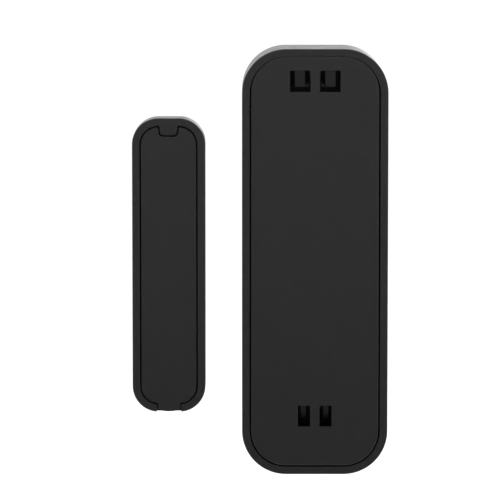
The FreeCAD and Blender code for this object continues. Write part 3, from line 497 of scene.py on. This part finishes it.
# ---------------------------------------------------------------- cell and contacts
class CONTACT_OT_cell(Operator):
    """Finish the cell and its contacts, and add the seal ring at the nub and the crimped rim."""

    bl_idname = "contact.cell"
    bl_label = "Cell and contacts"

    def execute(self, context):
        look = context.scene.contact_power
        f = Finish("cell_sleeve_film")
        axis_y = (CELL_LOW.y + CELL_HIGH.y) / 2 / MM
        from_axis = f.length(f.x, f.y - axis_y)
        top = CELL_HIGH.z / MM
        bottom = CELL_LOW.z / MM
        shoulder = top - 0.9
        sleeved = f.within(from_axis, 4.55, 4.6) * f.within(shoulder + 0.2 - f.z, 0.0, 0.02)
        sleeved = sleeved * f.within(f.z - bottom, 0.02, 0.06)
        banded = f.within(f.z, shoulder - 9.0, shoulder - 8.95)
        line = f.within(abs(f.z - (shoulder - 10.2)), 0.34, 0.3)
        seam = f.within(abs(f.x + 3.2), 0.35, 0.3) * f.within(axis_y - f.y, -0.2, 0.0)
        film = f.tint(f.greater(banded, line), look.sleeve, look.band)
        film = f.tint(f.noise(5.0, 3.0) * 0.25, film, (0.9, 0.9, 0.9))
        bare = f.tint(f.noise(0.8, 3.0), look.steel, shade(look.steel, 0.7))
        crease = f.noise(2.2, 2.0, (1.0, 1.0, 0.15))
        rough = 0.3 + (crease - 0.5) * 0.12 + (1 - sleeved) * 0.06
        material = f.surface(Base_Color=f.tint(sleeved, bare, film), Metallic=1 - sleeved * 0.75,
                             Roughness=rough,
                             Normal=f.relief(crease * 0.5 + seam * 0.5, 0.03))
        apply_finish(material, "battery_cell")
        nickel = plated("contact_nickel_plate", look.nickel, 0.26, (1.0, 0.15, 1.0), 0.25)
        apply_finish(nickel, "battery_positive_contact", "battery_negative_spring")

        centre = Vector((0.0, axis_y * MM, (shoulder * MM)))
        seal = Maker()
        outer = look.ring
        seal.lathe(centre, (0, 0, 1), [(outer, 0.0), (outer, 0.10 * MM), (outer - 0.12 * MM, 0.22 * MM),
                                       (2.35 * MM, 0.22 * MM), (2.2 * MM, 0.12 * MM), (2.2 * MM, 0.0)], 48)
        dark = seal_fibre("cell_seal_fibre")
        seal.piece("cell_seal_ring", "transmitter", dark)
        crimp = Maker()
        rim = 4.55 * MM
        crimp.lathe(Vector((0.0, axis_y * MM, CELL_LOW.z)), (0, 0, 1),
                    [(rim, 0.0), (rim + 0.1 * MM, -0.0), (rim + 0.16 * MM, -0.012 * MM),
                     (rim + 0.05 * MM, -0.022 * MM), (rim - 0.2 * MM, -0.012 * MM),
                     (rim - 0.25 * MM, 0.0)], 48)
        crimp.piece("cell_crimped_rim", "transmitter", nickel)
        return {"FINISHED"}


def seal_fibre(name):
    """Dark pressed fibre, as seals and washers are made of."""
    f = Finish(name)
    fibre = f.noise(0.2, 3.0, (1.0, 1.0, 0.3))
    return f.surface(Base_Color=f.tint(fibre, (0.012, 0.012, 0.013), (0.035, 0.034, 0.033)),
                     Roughness=0.6 + (fibre - 0.5) * 0.2, Normal=f.relief(fibre, 0.02))


# ---------------------------------------------------------------- board and its parts
FRONT = Vector((0.0, -1.0, 0.0))
BACK = Vector((0.0, 1.0, 0.0))


def board_point(x, z, side):
    """A point on the board's front or back face."""
    return Vector((x, BOARD_LOW.y if side is FRONT else BOARD_HIGH.y, z))


def end_fillet(maker, centre, out, toward, half_width, height, run):
    """Concave solder fillet that climbs a chip's end; toward points away from the chip."""
    out, toward = Vector(out), Vector(toward)
    side = out.cross(toward)
    steps = 5
    rings = []
    for s in (-1.0, -0.8, 0.0, 0.8, 1.0):
        shrink = 1.0 - 0.45 * (abs(s) > 0.9)
        ring = [Vector(centre) + side * s * half_width]
        for i in range(steps + 1):
            a = math.pi / 2 * i / steps
            along = run * shrink * (1 - math.sin(a))
            up = height * shrink * (1 - math.cos(a))
            ring.append(Vector(centre) + side * s * half_width + toward * along + out * up)
        rings.append(ring)
    maker.loft(rings)


def pin_mound(maker, centre, out, lead, reach, height):
    """Solder cone round a lead that comes through the board."""
    profile = [(reach, 0.0)]
    for i in range(1, 6):
        a = math.pi / 2 * i / 5
        profile.append((lead + (reach - lead) * (1 - math.sin(a)), height * (1 - math.cos(a)) + 0.02 * MM))
    profile.append((lead * 0.55, height * 1.12))
    maker.lathe(centre, out, profile, 20)


def chip_axis(low, high):
    """Direction along which a chip is longest, and its half sizes along and across it."""
    size = high - low
    if size.x > size.z:
        return Vector((1, 0, 0)), size.x / 2, size.z / 2
    return Vector((0, 0, 1)), size.z / 2, size.x / 2


def end_cap(maker, low, high, along, sign, wrap, skin):
    """Tinned cap over one end of a chip, with rounded edges."""
    middle = (low + high) / 2
    half = (high - low) / 2
    across = Vector((1, 0, 0)) if along.z else Vector((0, 0, 1))
    depth = half.dot(Vector([abs(c) for c in along]))
    tip = middle + along * sign * (depth + skin)
    half_across = half.dot(across) + skin
    half_out = half.y + skin * 0.5
    lift = FRONT * skin * 0.5
    rings = []
    for inset, back in ((0.5, 0.0), (0.15, 0.15), (0.0, 0.5), (0.0, 1.0)):
        pull = skin * 2 * inset
        start = tip - along * sign * (skin * 2 * back if back < 1 else wrap + skin)
        ring = []
        for a, b in ((1, 1), (-1, 1), (-1, -1), (1, -1)):
            corner = across * a * (half_across - pull) + BACK * b * (half_out - pull)
            bevel = skin * 1.2
            first = corner - across * a * bevel
            second = corner - BACK * b * bevel
            pair = (second, first) if a * b > 0 else (first, second)
            ring.extend(start + lift + spot for spot in pair)
        rings.append(ring)
    maker.loft(rings)


class CONTACT_OT_board(Operator):
    """Finish the bare board: mask, tracks, vias and its cut edges."""

    bl_idname = "contact.board"
    bl_label = "Circuit board"

    def execute(self, context):
        look = context.scene.contact_board
        f = Finish("board_green_mask")
        up_lane = f.within(abs(f.maths("FRACT", f.x / 0.9) - 0.5), 0.16, 0.12)
        up_on = f.within(f.chance((0.9, 40.0, 6.4)), 0.52, 0.54)
        cross_lane = f.within(abs(f.maths("FRACT", f.z / 1.3) - 0.5), 0.12, 0.09)
        cross_on = f.within(f.chance((5.4, 40.0, 1.3)), 0.6, 0.62)
        poured = f.within(f.cells(9.0, "F1", "Distance") * 9.0, 5.1, 5.15)
        vias = f.cells(3.4, "F1")
        hole = f.within(vias * 3.4, 0.14, 0.11)
        ring = f.within(vias * 3.4, 0.3, 0.27) - hole
        copper = f.greater(f.greater(up_lane * up_on, cross_lane * cross_on), f.greater(poured, ring))
        middle = (BOARD_LOW.y + BOARD_HIGH.y) / 2 / MM
        half = (BOARD_HIGH.y - BOARD_LOW.y) / 2 / MM
        faced = f.within(abs(f.y - middle), half - 0.045, half - 0.03)
        weave = f.noise(0.35, 1.0, (1.0, 0.2, 0.2))
        plies = f.maths("SINE", f.y * 42.0) * 0.5 + 0.5
        masked = f.tint(copper, f.tint(weave, look.mask, shade(look.mask, 1.25)), look.track)
        # via holes are tinted near black: painted shade inside holes that are only bumps on a flat face
        masked = f.tint(hole * 0.85, masked, (0.004, 0.012, 0.006))
        cut = f.tint(plies * 0.5 + weave * 0.4, look.core, shade(look.core, 0.55))
        relief = f.relief(copper * 0.7 - hole * 0.7 + f.noise(0.3) * 0.06, 0.03)
        material = f.surface(Base_Color=f.tint(faced, cut, masked),
                             Roughness=0.72 - faced * 0.42 + weave * 0.06,
                             Normal=relief, IOR=1.45)
        apply_finish(material, "circuit_board")
        return {"FINISHED"}


class CONTACT_OT_chips(Operator):
    """Finish the chips, and add the processor's and regulator's leads and their solder."""

    bl_idname = "contact.chips"
    bl_label = "Chips and their leads"

    def execute(self, context):
        look = context.scene.contact_board
        f = Finish("chip_black_epoxy")
        speck = f.noise(0.06, 2.0)
        cloud = f.noise(1.2, 2.0)
        dimple = None
        for node in ("microcontroller", "voltage_regulator"):
            low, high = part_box(node)
            mark = f.length(f.x - (low.x / MM + 0.55), f.z - (high.z / MM - 0.55))
            spot = f.within(mark, 0.26, 0.22)
            dimple = spot if dimple is None else f.greater(dimple, spot)
        tone = speck * 0.6 + cloud * 0.4
        material = f.surface(Base_Color=f.tint(tone, (0.012, 0.012, 0.013), (0.030, 0.030, 0.031)),
                             Roughness=0.56 + (speck - 0.5) * 0.16 - dimple * 0.2,
                             Normal=f.relief(speck * 0.25 - dimple * 0.75, 0.03), IOR=1.5)
        apply_finish(material, "microcontroller", "voltage_regulator")

        tin = plated("solder_tin", look.solder, 0.24, tarnish=0.35, grain=0.2, depth=0.004)
        legs = Maker()
        joints = Maker()
        low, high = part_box("microcontroller")
        middle = (low + high) / 2
        half = (high.x - low.x) / 2
        count = look.leads
        for turn in range(4):
            out_way = Vector((round(math.cos(turn * math.pi / 2)), 0, round(math.sin(turn * math.pi / 2))))
            side = Vector((-out_way.z, 0, out_way.x))
            for i in range(count):
                place = (i - (count - 1) / 2) * look.pitch
                start = Vector((middle.x, 0, middle.z)) + out_way * half + side * place
                self.gull_wing(legs, joints, start, out_way, side, 0.45 * MM, 0.2 * MM)
        low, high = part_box("voltage_regulator")
        middle = (low + high) / 2
        for sign, spots in ((-1, (-0.95, 0.0, 0.95)), (1, (-0.95, 0.95))):
            for spot in spots:
                out_way = Vector((sign, 0, 0))
                start = Vector((middle.x, 0, middle.z + spot * MM)) + out_way * (high.x - low.x) / 2
                self.gull_wing(legs, joints, start, out_way, Vector((0, 0, 1)), 0.5 * MM, 0.36 * MM)
        legs.piece("chip_leads", "transmitter", tin, 50.0)
        joints.piece("lead_solder", "transmitter", tin, 60.0)
        return {"FINISHED"}

    def gull_wing(self, legs, joints, start, out_way, side, height, width):
        """One bent lead from a chip's side down to the board, and the solder at its toe."""
        face = BOARD_LOW.y
        thick = 0.12 * MM
        level = Vector((0, face - height, 0))
        foot = Vector((0, face - thick / 2 - 0.01 * MM, 0))
        path = [start - out_way * 0.1 * MM + level, start + out_way * 0.14 * MM + level,
                start + out_way * 0.24 * MM + level * 0.93 + foot * 0.07,
                start + out_way * 0.30 * MM + level * 0.5 + foot * 0.5,
                start + out_way * 0.36 * MM + level * 0.07 + foot * 0.93,
                start + out_way * 0.46 * MM + foot, start + out_way * 0.78 * MM + foot]
        legs.strip(path, thick, width, side)
        toe = start + out_way * 0.78 * MM + Vector((0, face, 0))
        end_fillet(joints, toe, FRONT, out_way, width * 0.62, 0.11 * MM, 0.2 * MM)


class CONTACT_OT_passives(Operator):
    """Finish the small parts of the board, and add their tinned ends, terminals and fillets."""

    bl_idname = "contact.passives"
    bl_label = "Small board parts"

    def execute(self, context):
        look = context.scene.contact_board
        tin = plated("tinned_ends", look.solder, 0.3, tarnish=0.3, grain=0.12, depth=0.004)
        caps = Maker()
        joints = Maker()
        for node, wrap in (("chip_capacitors", 0.32), ("chip_resistors", 0.28)):
            for low, high in solids_of(node):
                along, half_long, half_wide = chip_axis(low, high)
                for sign in (-1, 1):
                    end_cap(caps, low, high, along, sign, wrap * MM, 0.03 * MM)
                    middle = (low + high) / 2
                    foot = board_point(middle.x, middle.z, FRONT) + along * sign * (half_long + 0.03 * MM)
                    end_fillet(joints, foot, FRONT, along * sign, half_wide + 0.05 * MM,
                               (high.y - low.y) * 0.55, 0.28 * MM)
        for node, out, wide in (("boost_inductor", FRONT, 1.3), ("storage_capacitor", BACK, 1.1),
                                ("crystal", FRONT, 0.55)):
            low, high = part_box(node)
            middle = (low + high) / 2
            for sign in (-1, 1):
                end = Vector((0, 0, sign))
                foot = board_point(middle.x, middle.z, out) + end * (high.z - low.z) / 2
                sheet = 0.07 * MM
                rise = (high.y - low.y) * 0.55
                if node != "crystal":
                    caps.strip([foot + out * 0.02 * MM + end * 0.1 * MM,
                                foot + out * rise * 0.5 + end * sheet / 2,
                                foot + out * rise + end * sheet / 2], sheet, wide * 2 * MM, (1, 0, 0))
                end_fillet(joints, foot + end * sheet, out, end, wide * MM, rise * 0.35, 0.35 * MM)
        caps.piece("tinned_chip_ends", "transmitter", tin, 40.0)
        joints.piece("end_solder", "transmitter", tin, 60.0)
        apply_finish(self.capacitor(), "chip_capacitors")
        apply_finish(self.resistor(), "chip_resistors")
        apply_finish(self.tantalum(), "storage_capacitor")
        apply_finish(self.ferrite(), "boost_inductor")
        apply_finish(self.stamped(), "radio_shield_can", "crystal")
        return {"FINISHED"}

    def capacitor(self):
        f = Finish("ceramic_tan_body")
        speck = f.noise(0.09, 3.0)
        cloud = f.noise(0.8, 2.0)
        return f.surface(Base_Color=f.tint(speck * 0.5 + cloud * 0.5, (0.36, 0.245, 0.135),
                                           (0.50, 0.36, 0.21)),
                         Roughness=0.38 + (speck - 0.5) * 0.15, Normal=f.relief(speck, 0.006))

    def resistor(self):
        f = Finish("resistor_glass_black")
        top = f.within(BOARD_LOW.y / MM - f.y, 0.37, 0.4)
        speck = f.noise(0.1, 3.0)
        alumina = f.tint(speck, (0.62, 0.61, 0.58), (0.80, 0.79, 0.76))
        glaze = f.tint(speck, (0.010, 0.010, 0.011), (0.022, 0.022, 0.024))
        return f.surface(Base_Color=f.tint(top, alumina, glaze), Roughness=0.55 - top * 0.3,
                         Normal=f.relief(speck, 0.008))

    def tantalum(self):
        f = Finish("tantalum_yellow_resin")
        low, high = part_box("storage_capacitor")
        stripe = f.within(f.z, high.z / MM - 1.45, high.z / MM - 1.4)
        speck = f.noise(0.12, 3.0)
        amber = f.tint(speck, (0.62, 0.36, 0.055), (0.74, 0.46, 0.09))
        return f.surface(Base_Color=f.tint(stripe * 0.85, amber, (0.20, 0.06, 0.012)),
                         Roughness=0.42 + (speck - 0.5) * 0.15, Normal=f.relief(speck, 0.01))

    def ferrite(self):
        f = Finish("ferrite_grey_sintered")
        pits = f.cells(0.11, "F1")
        cloud = f.noise(0.9, 3.0)
        return f.surface(Base_Color=f.tint(cloud * 0.7 + pits * 0.3, (0.040, 0.040, 0.042),
                                           (0.095, 0.094, 0.092)),
                         Roughness=0.6 + (cloud - 0.5) * 0.15, Normal=f.relief(pits, 0.02))

    def stamped(self):
        f = Finish("shield_tin_sheet")
        drawn = f.noise(0.06, 2.0, (0.06, 1.0, 1.0))
        spangle = f.cells(1.1, "F1", "Color")
        patch = f.node("ShaderNodeSeparateXYZ", inputs={0: spangle}, output="X")
        low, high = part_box("radio_shield_can")
        rim = f.outline(((low.x + high.x) / 2 / MM, (low.z + high.z) / 2 / MM),
                        ((high.x - low.x) / MM, (high.z - low.z) / MM), 0.4)
        groove = f.within(abs(rim + 0.9), 0.16, 0.08)
        colours = f.tint(patch * 0.5 + (drawn - 0.5) * 0.3, (0.66, 0.65, 0.62), (0.50, 0.49, 0.46))
        return f.surface(Base_Color=colours, Metallic=1.0,
                         Roughness=0.25 + patch * 0.12 + (drawn - 0.5) * 0.12,
                         Normal=f.relief(drawn * 0.08 - groove * 0.92, 0.03))


# ---------------------------------------------------------------- light, aerial, reed switch
class CONTACT_OT_indicator(Operator):
    """Finish the light pipe and the lamp behind it, and add the lamp's domed lens in the same milky resin."""

    bl_idname = "contact.indicator"
    bl_label = "Light pipe and lamp"

    def execute(self, context):
        f = Finish("light_pipe_acrylic")
        haze = f.noise(0.5, 3.0)
        turned = f.noise(0.08, 2.0)
        clear = f.surface(Base_Color=f.tint(haze, (0.86, 0.87, 0.87), (0.95, 0.95, 0.94)), IOR=1.49,
                          Roughness=0.16 + (haze - 0.5) * 0.1, Transmission_Weight=0.85,
                          Normal=f.relief(turned, 0.002))
        apply_finish(clear, "light_pipe")
        f = Finish("lamp_diffuser_resin")
        cloud = f.noise(0.25, 3.0)
        milky = f.surface(Base_Color=f.tint(cloud, (0.74, 0.73, 0.62), (0.88, 0.87, 0.80)),
                          Roughness=0.34 + (cloud - 0.5) * 0.2, Subsurface_Weight=0.4,
                          Subsurface_Scale=0.0004, Normal=f.relief(cloud, 0.01))
        apply_finish(milky, "status_led")
        low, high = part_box("status_led")
        lens = Maker()
        centre = Vector(((low.x + high.x) / 2, low.y, (low.z + high.z) / 2))
        dome = [(0.30 * MM * math.cos(a), 0.16 * MM * math.sin(a))
                for a in (math.pi / 2 * i / 6 for i in range(6))]
        lens.lathe(centre, FRONT, dome + [(0.02 * MM, 0.16 * MM)], 24)
        lens.piece("lamp_lens", "transmitter", milky, 60.0)
        return {"FINISHED"}


class CONTACT_OT_aerial(Operator):
    """Finish the aerial coil and solder its feet to the board."""

    bl_idname = "contact.aerial"
    bl_label = "Aerial"

    def execute(self, context):
        f = Finish("aerial_copper_wire")
        drawn = f.noise(0.07, 2.0)
        stain = f.noise(0.9, 3.0)
        dull = f.within(stain, 0.42, 0.7)
        bright = f.tint(drawn, (0.82, 0.42, 0.24), (0.90, 0.50, 0.31))
        copper = f.surface(Base_Color=f.tint(dull * 0.6, bright, (0.42, 0.19, 0.10)), Metallic=1.0,
                           Roughness=0.24 + dull * 0.16, Normal=f.relief(drawn, 0.003))
        apply_finish(copper, "antenna_coil")
        low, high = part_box("antenna_coil")
        solder = plated("aerial_solder", context.scene.contact_board.solder, 0.22, tarnish=0.35, grain=0.2)
        joints = Maker()
        wire = 0.35 * MM
        for x, z in ((high.x - wire, low.z + wire), (low.x + wire, high.z - wire)):
            pin_mound(joints, board_point(x, z, BACK), BACK, wire, 0.8 * MM, 0.5 * MM)
        joints.piece("aerial_joints", "transmitter", solder, 60.0)
        return {"FINISHED"}


class CONTACT_OT_reed_switch(Operator):
    """Finish the reed switch, and solder its leads."""

    bl_idname = "contact.reed_switch"
    bl_label = "Reed switch"

    def execute(self, context):
        look = context.scene.contact_switches
        f = Finish("reed_green_glass")
        cord = f.noise(1.4, 2.0, (1.0, 1.0, 0.1))
        body = f.tint(cord, look.glass, shade(look.glass, 0.8))
        glass = f.surface(Base_Color=body, Roughness=0.05 + cord * 0.04, Transmission_Weight=0.92, IOR=1.51,
                          Normal=f.relief(cord, 0.01))
        apply_finish(glass, "reed_glass")
        alloy = plated("reed_alloy_plate", look.alloy, 0.3, (1.0, 1.0, 0.1), 0.2)
        apply_finish(alloy, "reed_leads", "reed_moving_blade")
        solder = plated("reed_solder", context.scene.contact_board.solder, 0.22, tarnish=0.35, grain=0.2)
        low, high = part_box("reed_leads")
        axis_x = (low.x + high.x) / 2
        lead = 0.25 * MM
        joints = Maker()
        for z in (low.z + lead, high.z - lead):
            pin_mound(joints, board_point(axis_x, z, BACK), BACK, lead, 0.7 * MM, 0.45 * MM)
        joints.piece("reed_joints", "transmitter", solder, 60.0)
        return {"FINISHED"}


# ---------------------------------------------------------------- small switches
class CONTACT_OT_small_switches(Operator):
    """Finish the tamper and learn switches, their pins and spring, and add their terminals."""

    bl_idname = "contact.small_switches"
    bl_label = "Tamper and learn switches"

    def execute(self, context):
        look = context.scene.contact_switches
        f = Finish("switch_black_nylon")
        fine = f.noise(0.09, 3.0)
        cloud = f.noise(1.1, 2.0)
        nylon = f.surface(Base_Color=f.tint(fine * 0.5 + cloud * 0.5, shade(look.body, 0.8),
                                            shade(look.body, 1.3)),
                          Roughness=0.44 + (fine - 0.5) * 0.14, Normal=f.relief(fine, 0.006), IOR=1.5)
        apply_finish(nylon, "tamper_switch_body", "learn_switch_body")
        f = Finish("pin_white_acetal")
        fine = f.noise(0.1, 2.0)
        cloud = f.noise(1.5, 2.0)
        rub = f.within(f.noise(0.5, 2.0, (1.0, 0.1, 1.0)), 0.55, 0.75)
        acetal = f.surface(Base_Color=f.tint(cloud * 0.5 + rub * 0.3, look.acetal, shade(look.acetal, 0.86)),
                           Roughness=0.34 + (fine - 0.5) * 0.1 - rub * 0.08, Subsurface_Weight=0.15,
                           Subsurface_Scale=0.0005, Normal=f.relief(fine, 0.004))
        apply_finish(acetal, "tamper_plunger", "learn_button")
        apply_finish(plated("spring_wire", (0.55, 0.54, 0.52), 0.28, (1.0, 0.2, 1.0), 0.25), "tamper_spring")

        tin = plated("terminal_tin", context.scene.contact_board.solder, 0.28, tarnish=0.3, grain=0.12)
        tabs = Maker()
        joints = Maker()
        for node, rise in (("tamper_switch_body", 0.9), ("learn_switch_body", 0.6)):
            low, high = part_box(node)
            middle = (low + high) / 2
            for end in (-1, 1):
                for across in (-1, 1):
                    way = Vector((0, 0, end))
                    x = middle.x + across * 0.95 * MM
                    start = board_point(x, high.z if end > 0 else low.z, BACK)
                    sheet = 0.14 * MM
                    tabs.strip([start + BACK * rise * MM + way * sheet / 2,
                                start + BACK * 0.2 * MM + way * sheet / 2,
                                start + BACK * 0.09 * MM + way * 0.14 * MM,
                                start + BACK * 0.08 * MM + way * 0.5 * MM],
                               sheet, 0.55 * MM, (1, 0, 0))
                    end_fillet(joints, start + way * 0.5 * MM, BACK, way, 0.36 * MM, 0.14 * MM, 0.24 * MM)
        tabs.piece("switch_terminals", "transmitter", tin, 50.0)
        joints.piece("switch_solder", "transmitter", tin, 60.0)
        return {"FINISHED"}


# ---------------------------------------------------------------- magnet
class CONTACT_OT_magnet(Operator):
    """Finish the bar magnet: sintered ferrite with grinding marks on its faces."""

    bl_idname = "contact.magnet"
    bl_label = "Bar magnet"

    def execute(self, context):
        look = context.scene.contact_magnet
        f = Finish("magnet_ground_ferrite")
        ground = f.noise(look.grind / MM, 3.0, (1.0, 1.0, 0.06))
        pits = f.cells(0.5, "F1")
        pit = f.within(pits, 0.14, 0.08)
        cloud = f.noise(4.0, 2.0)
        # the pits darken the colour: painted shade in the pores; the pits are also bumps and a little rougher
        tone = ground * 0.5 + cloud * 0.5 - pit * 0.3
        material = f.surface(Base_Color=f.tint(tone, shade(look.ferrite, 0.7), shade(look.ferrite, 1.5)),
                             Roughness=0.5 + (ground - 0.5) * 0.2 + pit * 0.2, Metallic=0.15,
                             Normal=f.relief(ground * 0.5 - pit * 0.5, 0.02))
        apply_finish(material, "bar_magnet")
        return {"FINISHED"}


# ---------------------------------------------------------------- stage
def softbox(name, place, aim, width, height, power):
    """Area light at a place, turned towards an aim point."""
    lamp = bpy.data.lights.new(name, "AREA")
    lamp.shape = "RECTANGLE"
    lamp.size = width
    lamp.size_y = height
    lamp.energy = power
    made = bpy.data.objects.new(name, lamp)
    made.location = place
    made.rotation_euler = (Vector(aim) - Vector(place)).to_track_quat("-Z", "Y").to_euler()
    bpy.context.scene.collection.objects.link(made)
    return made


def sheet(name, corners, material):
    """One flat face of the stage."""
    data = bpy.data.meshes.new(name)
    data.from_pydata(corners, [], [(0, 1, 2, 3)])
    data.materials.append(material)
    made = bpy.data.objects.new(name, data)
    bpy.context.scene.collection.objects.link(made)
    return made


def upright(name, y, half, low, high, grey):
    """Upright card across the view, which the camera doesn't see."""
    f = Finish(name)
    material = f.surface(Base_Color=(grey, grey, grey), Roughness=0.9)
    made = sheet(name, [(-half, y, low), (half, y, low), (half, y, high), (-half, y, high)], material)
    made.visible_camera = False
    return made


class CONTACT_OT_stage(Operator):
    """Make the pale floor, the cards, the soft lights and the camera."""

    bl_idname = "contact.stage"
    bl_label = "Stage"

    def execute(self, context):
        look = context.scene.contact_stage
        scene = context.scene
        f = Finish("floor_pale")
        cloud = f.noise(900.0, 2.0)
        pale = f.surface(Base_Color=f.tint(cloud, shade(look.floor, 0.985), look.floor), Roughness=0.85)
        reach = 30.0
        low = -look.drop
        sheet("pale_floor", [(-reach, -reach, low), (reach, -reach, low), (reach, reach, low),
                             (-reach, reach, low)], pale)
        upright("screen_card", 1.1, 3.0, low, 2.6, look.screen)
        upright("shade_card", 0.3, 0.3, low, -0.084, look.shade)

        world = bpy.data.worlds.new("studio_room")
        scene.world = world
        world.use_nodes = True
        background = world.node_tree.nodes["Background"]
        background.inputs["Color"].default_value = (1.0, 1.0, 1.0, 1.0)
        background.inputs["Strength"].default_value = look.room
        softbox("softbox_top", (0.0, -0.4, 1.6), (0.0, -0.4, 0.0), 3.0, 3.0, look.top)
        softbox("softbox_room_side", (-0.7, -1.3, 0.6), (0.0, 0.0, 0.0), 0.9, 0.9, look.front)

        camera = bpy.data.objects.new("camera", bpy.data.cameras.new("camera"))
        away = Vector((0.0, math.cos(CAMERA_TILT), math.sin(CAMERA_TILT)))
        camera.location = CAMERA_AIM + away * look.distance
        camera.rotation_euler = (-away).to_track_quat("-Z", "Y").to_euler()
        camera.data.lens = look.lens
        camera.data.sensor_width = 36.0
        camera.data.clip_start = 0.01
        camera.data.clip_end = 200.0
        scene.collection.objects.link(camera)
        scene.camera = camera
        scene.view_settings.view_transform = "Standard"
        return {"FINISHED"}


# ---------------------------------------------------------------- panel and registering
LOOKS = (("contact_mouldings", MouldingLook), ("contact_power", PowerLook), ("contact_board", BoardLook),
         ("contact_switches", SwitchLook), ("contact_magnet", MagnetLook), ("contact_stage", StageLook))
OPERATORS = (CONTACT_OT_case, CONTACT_OT_plates, CONTACT_OT_inner_frame, CONTACT_OT_screws, CONTACT_OT_cell,
             CONTACT_OT_board, CONTACT_OT_chips, CONTACT_OT_passives, CONTACT_OT_indicator, CONTACT_OT_aerial,
             CONTACT_OT_reed_switch, CONTACT_OT_small_switches, CONTACT_OT_magnet, CONTACT_OT_stage)


class CONTACT_PT_pieces(Panel):
    """Sizes, colours and pieces of the door contact."""

    bl_label = "Door Contact"
    bl_idname = "CONTACT_PT_pieces"
    bl_space_type = "VIEW_3D"
    bl_region_type = "UI"
    bl_category = "Door Contact"

    def draw(self, context):
        layout = self.layout
        for name, group in LOOKS:
            box = layout.box()
            for key in group.__annotations__:
                box.prop(getattr(context.scene, name), key)
        for operator in OPERATORS:
            layout.operator(operator.bl_idname)


def register():
    for name, group in LOOKS:
        bpy.utils.register_class(group)
        setattr(bpy.types.Scene, name, PointerProperty(type=group))
    for operator in OPERATORS:
        bpy.utils.register_class(operator)
    bpy.utils.register_class(CONTACT_PT_pieces)


def unregister():
    bpy.utils.unregister_class(CONTACT_PT_pieces)
    for operator in reversed(OPERATORS):
        bpy.utils.unregister_class(operator)
    for name, group in reversed(LOOKS):
        delattr(bpy.types.Scene, name)
        bpy.utils.unregister_class(group)


def main():
    register()
    for operator in OPERATORS:
        group, name = operator.bl_idname.split(".")
        getattr(getattr(bpy.ops, group), name)()


if __name__ == "__main__":
    main()
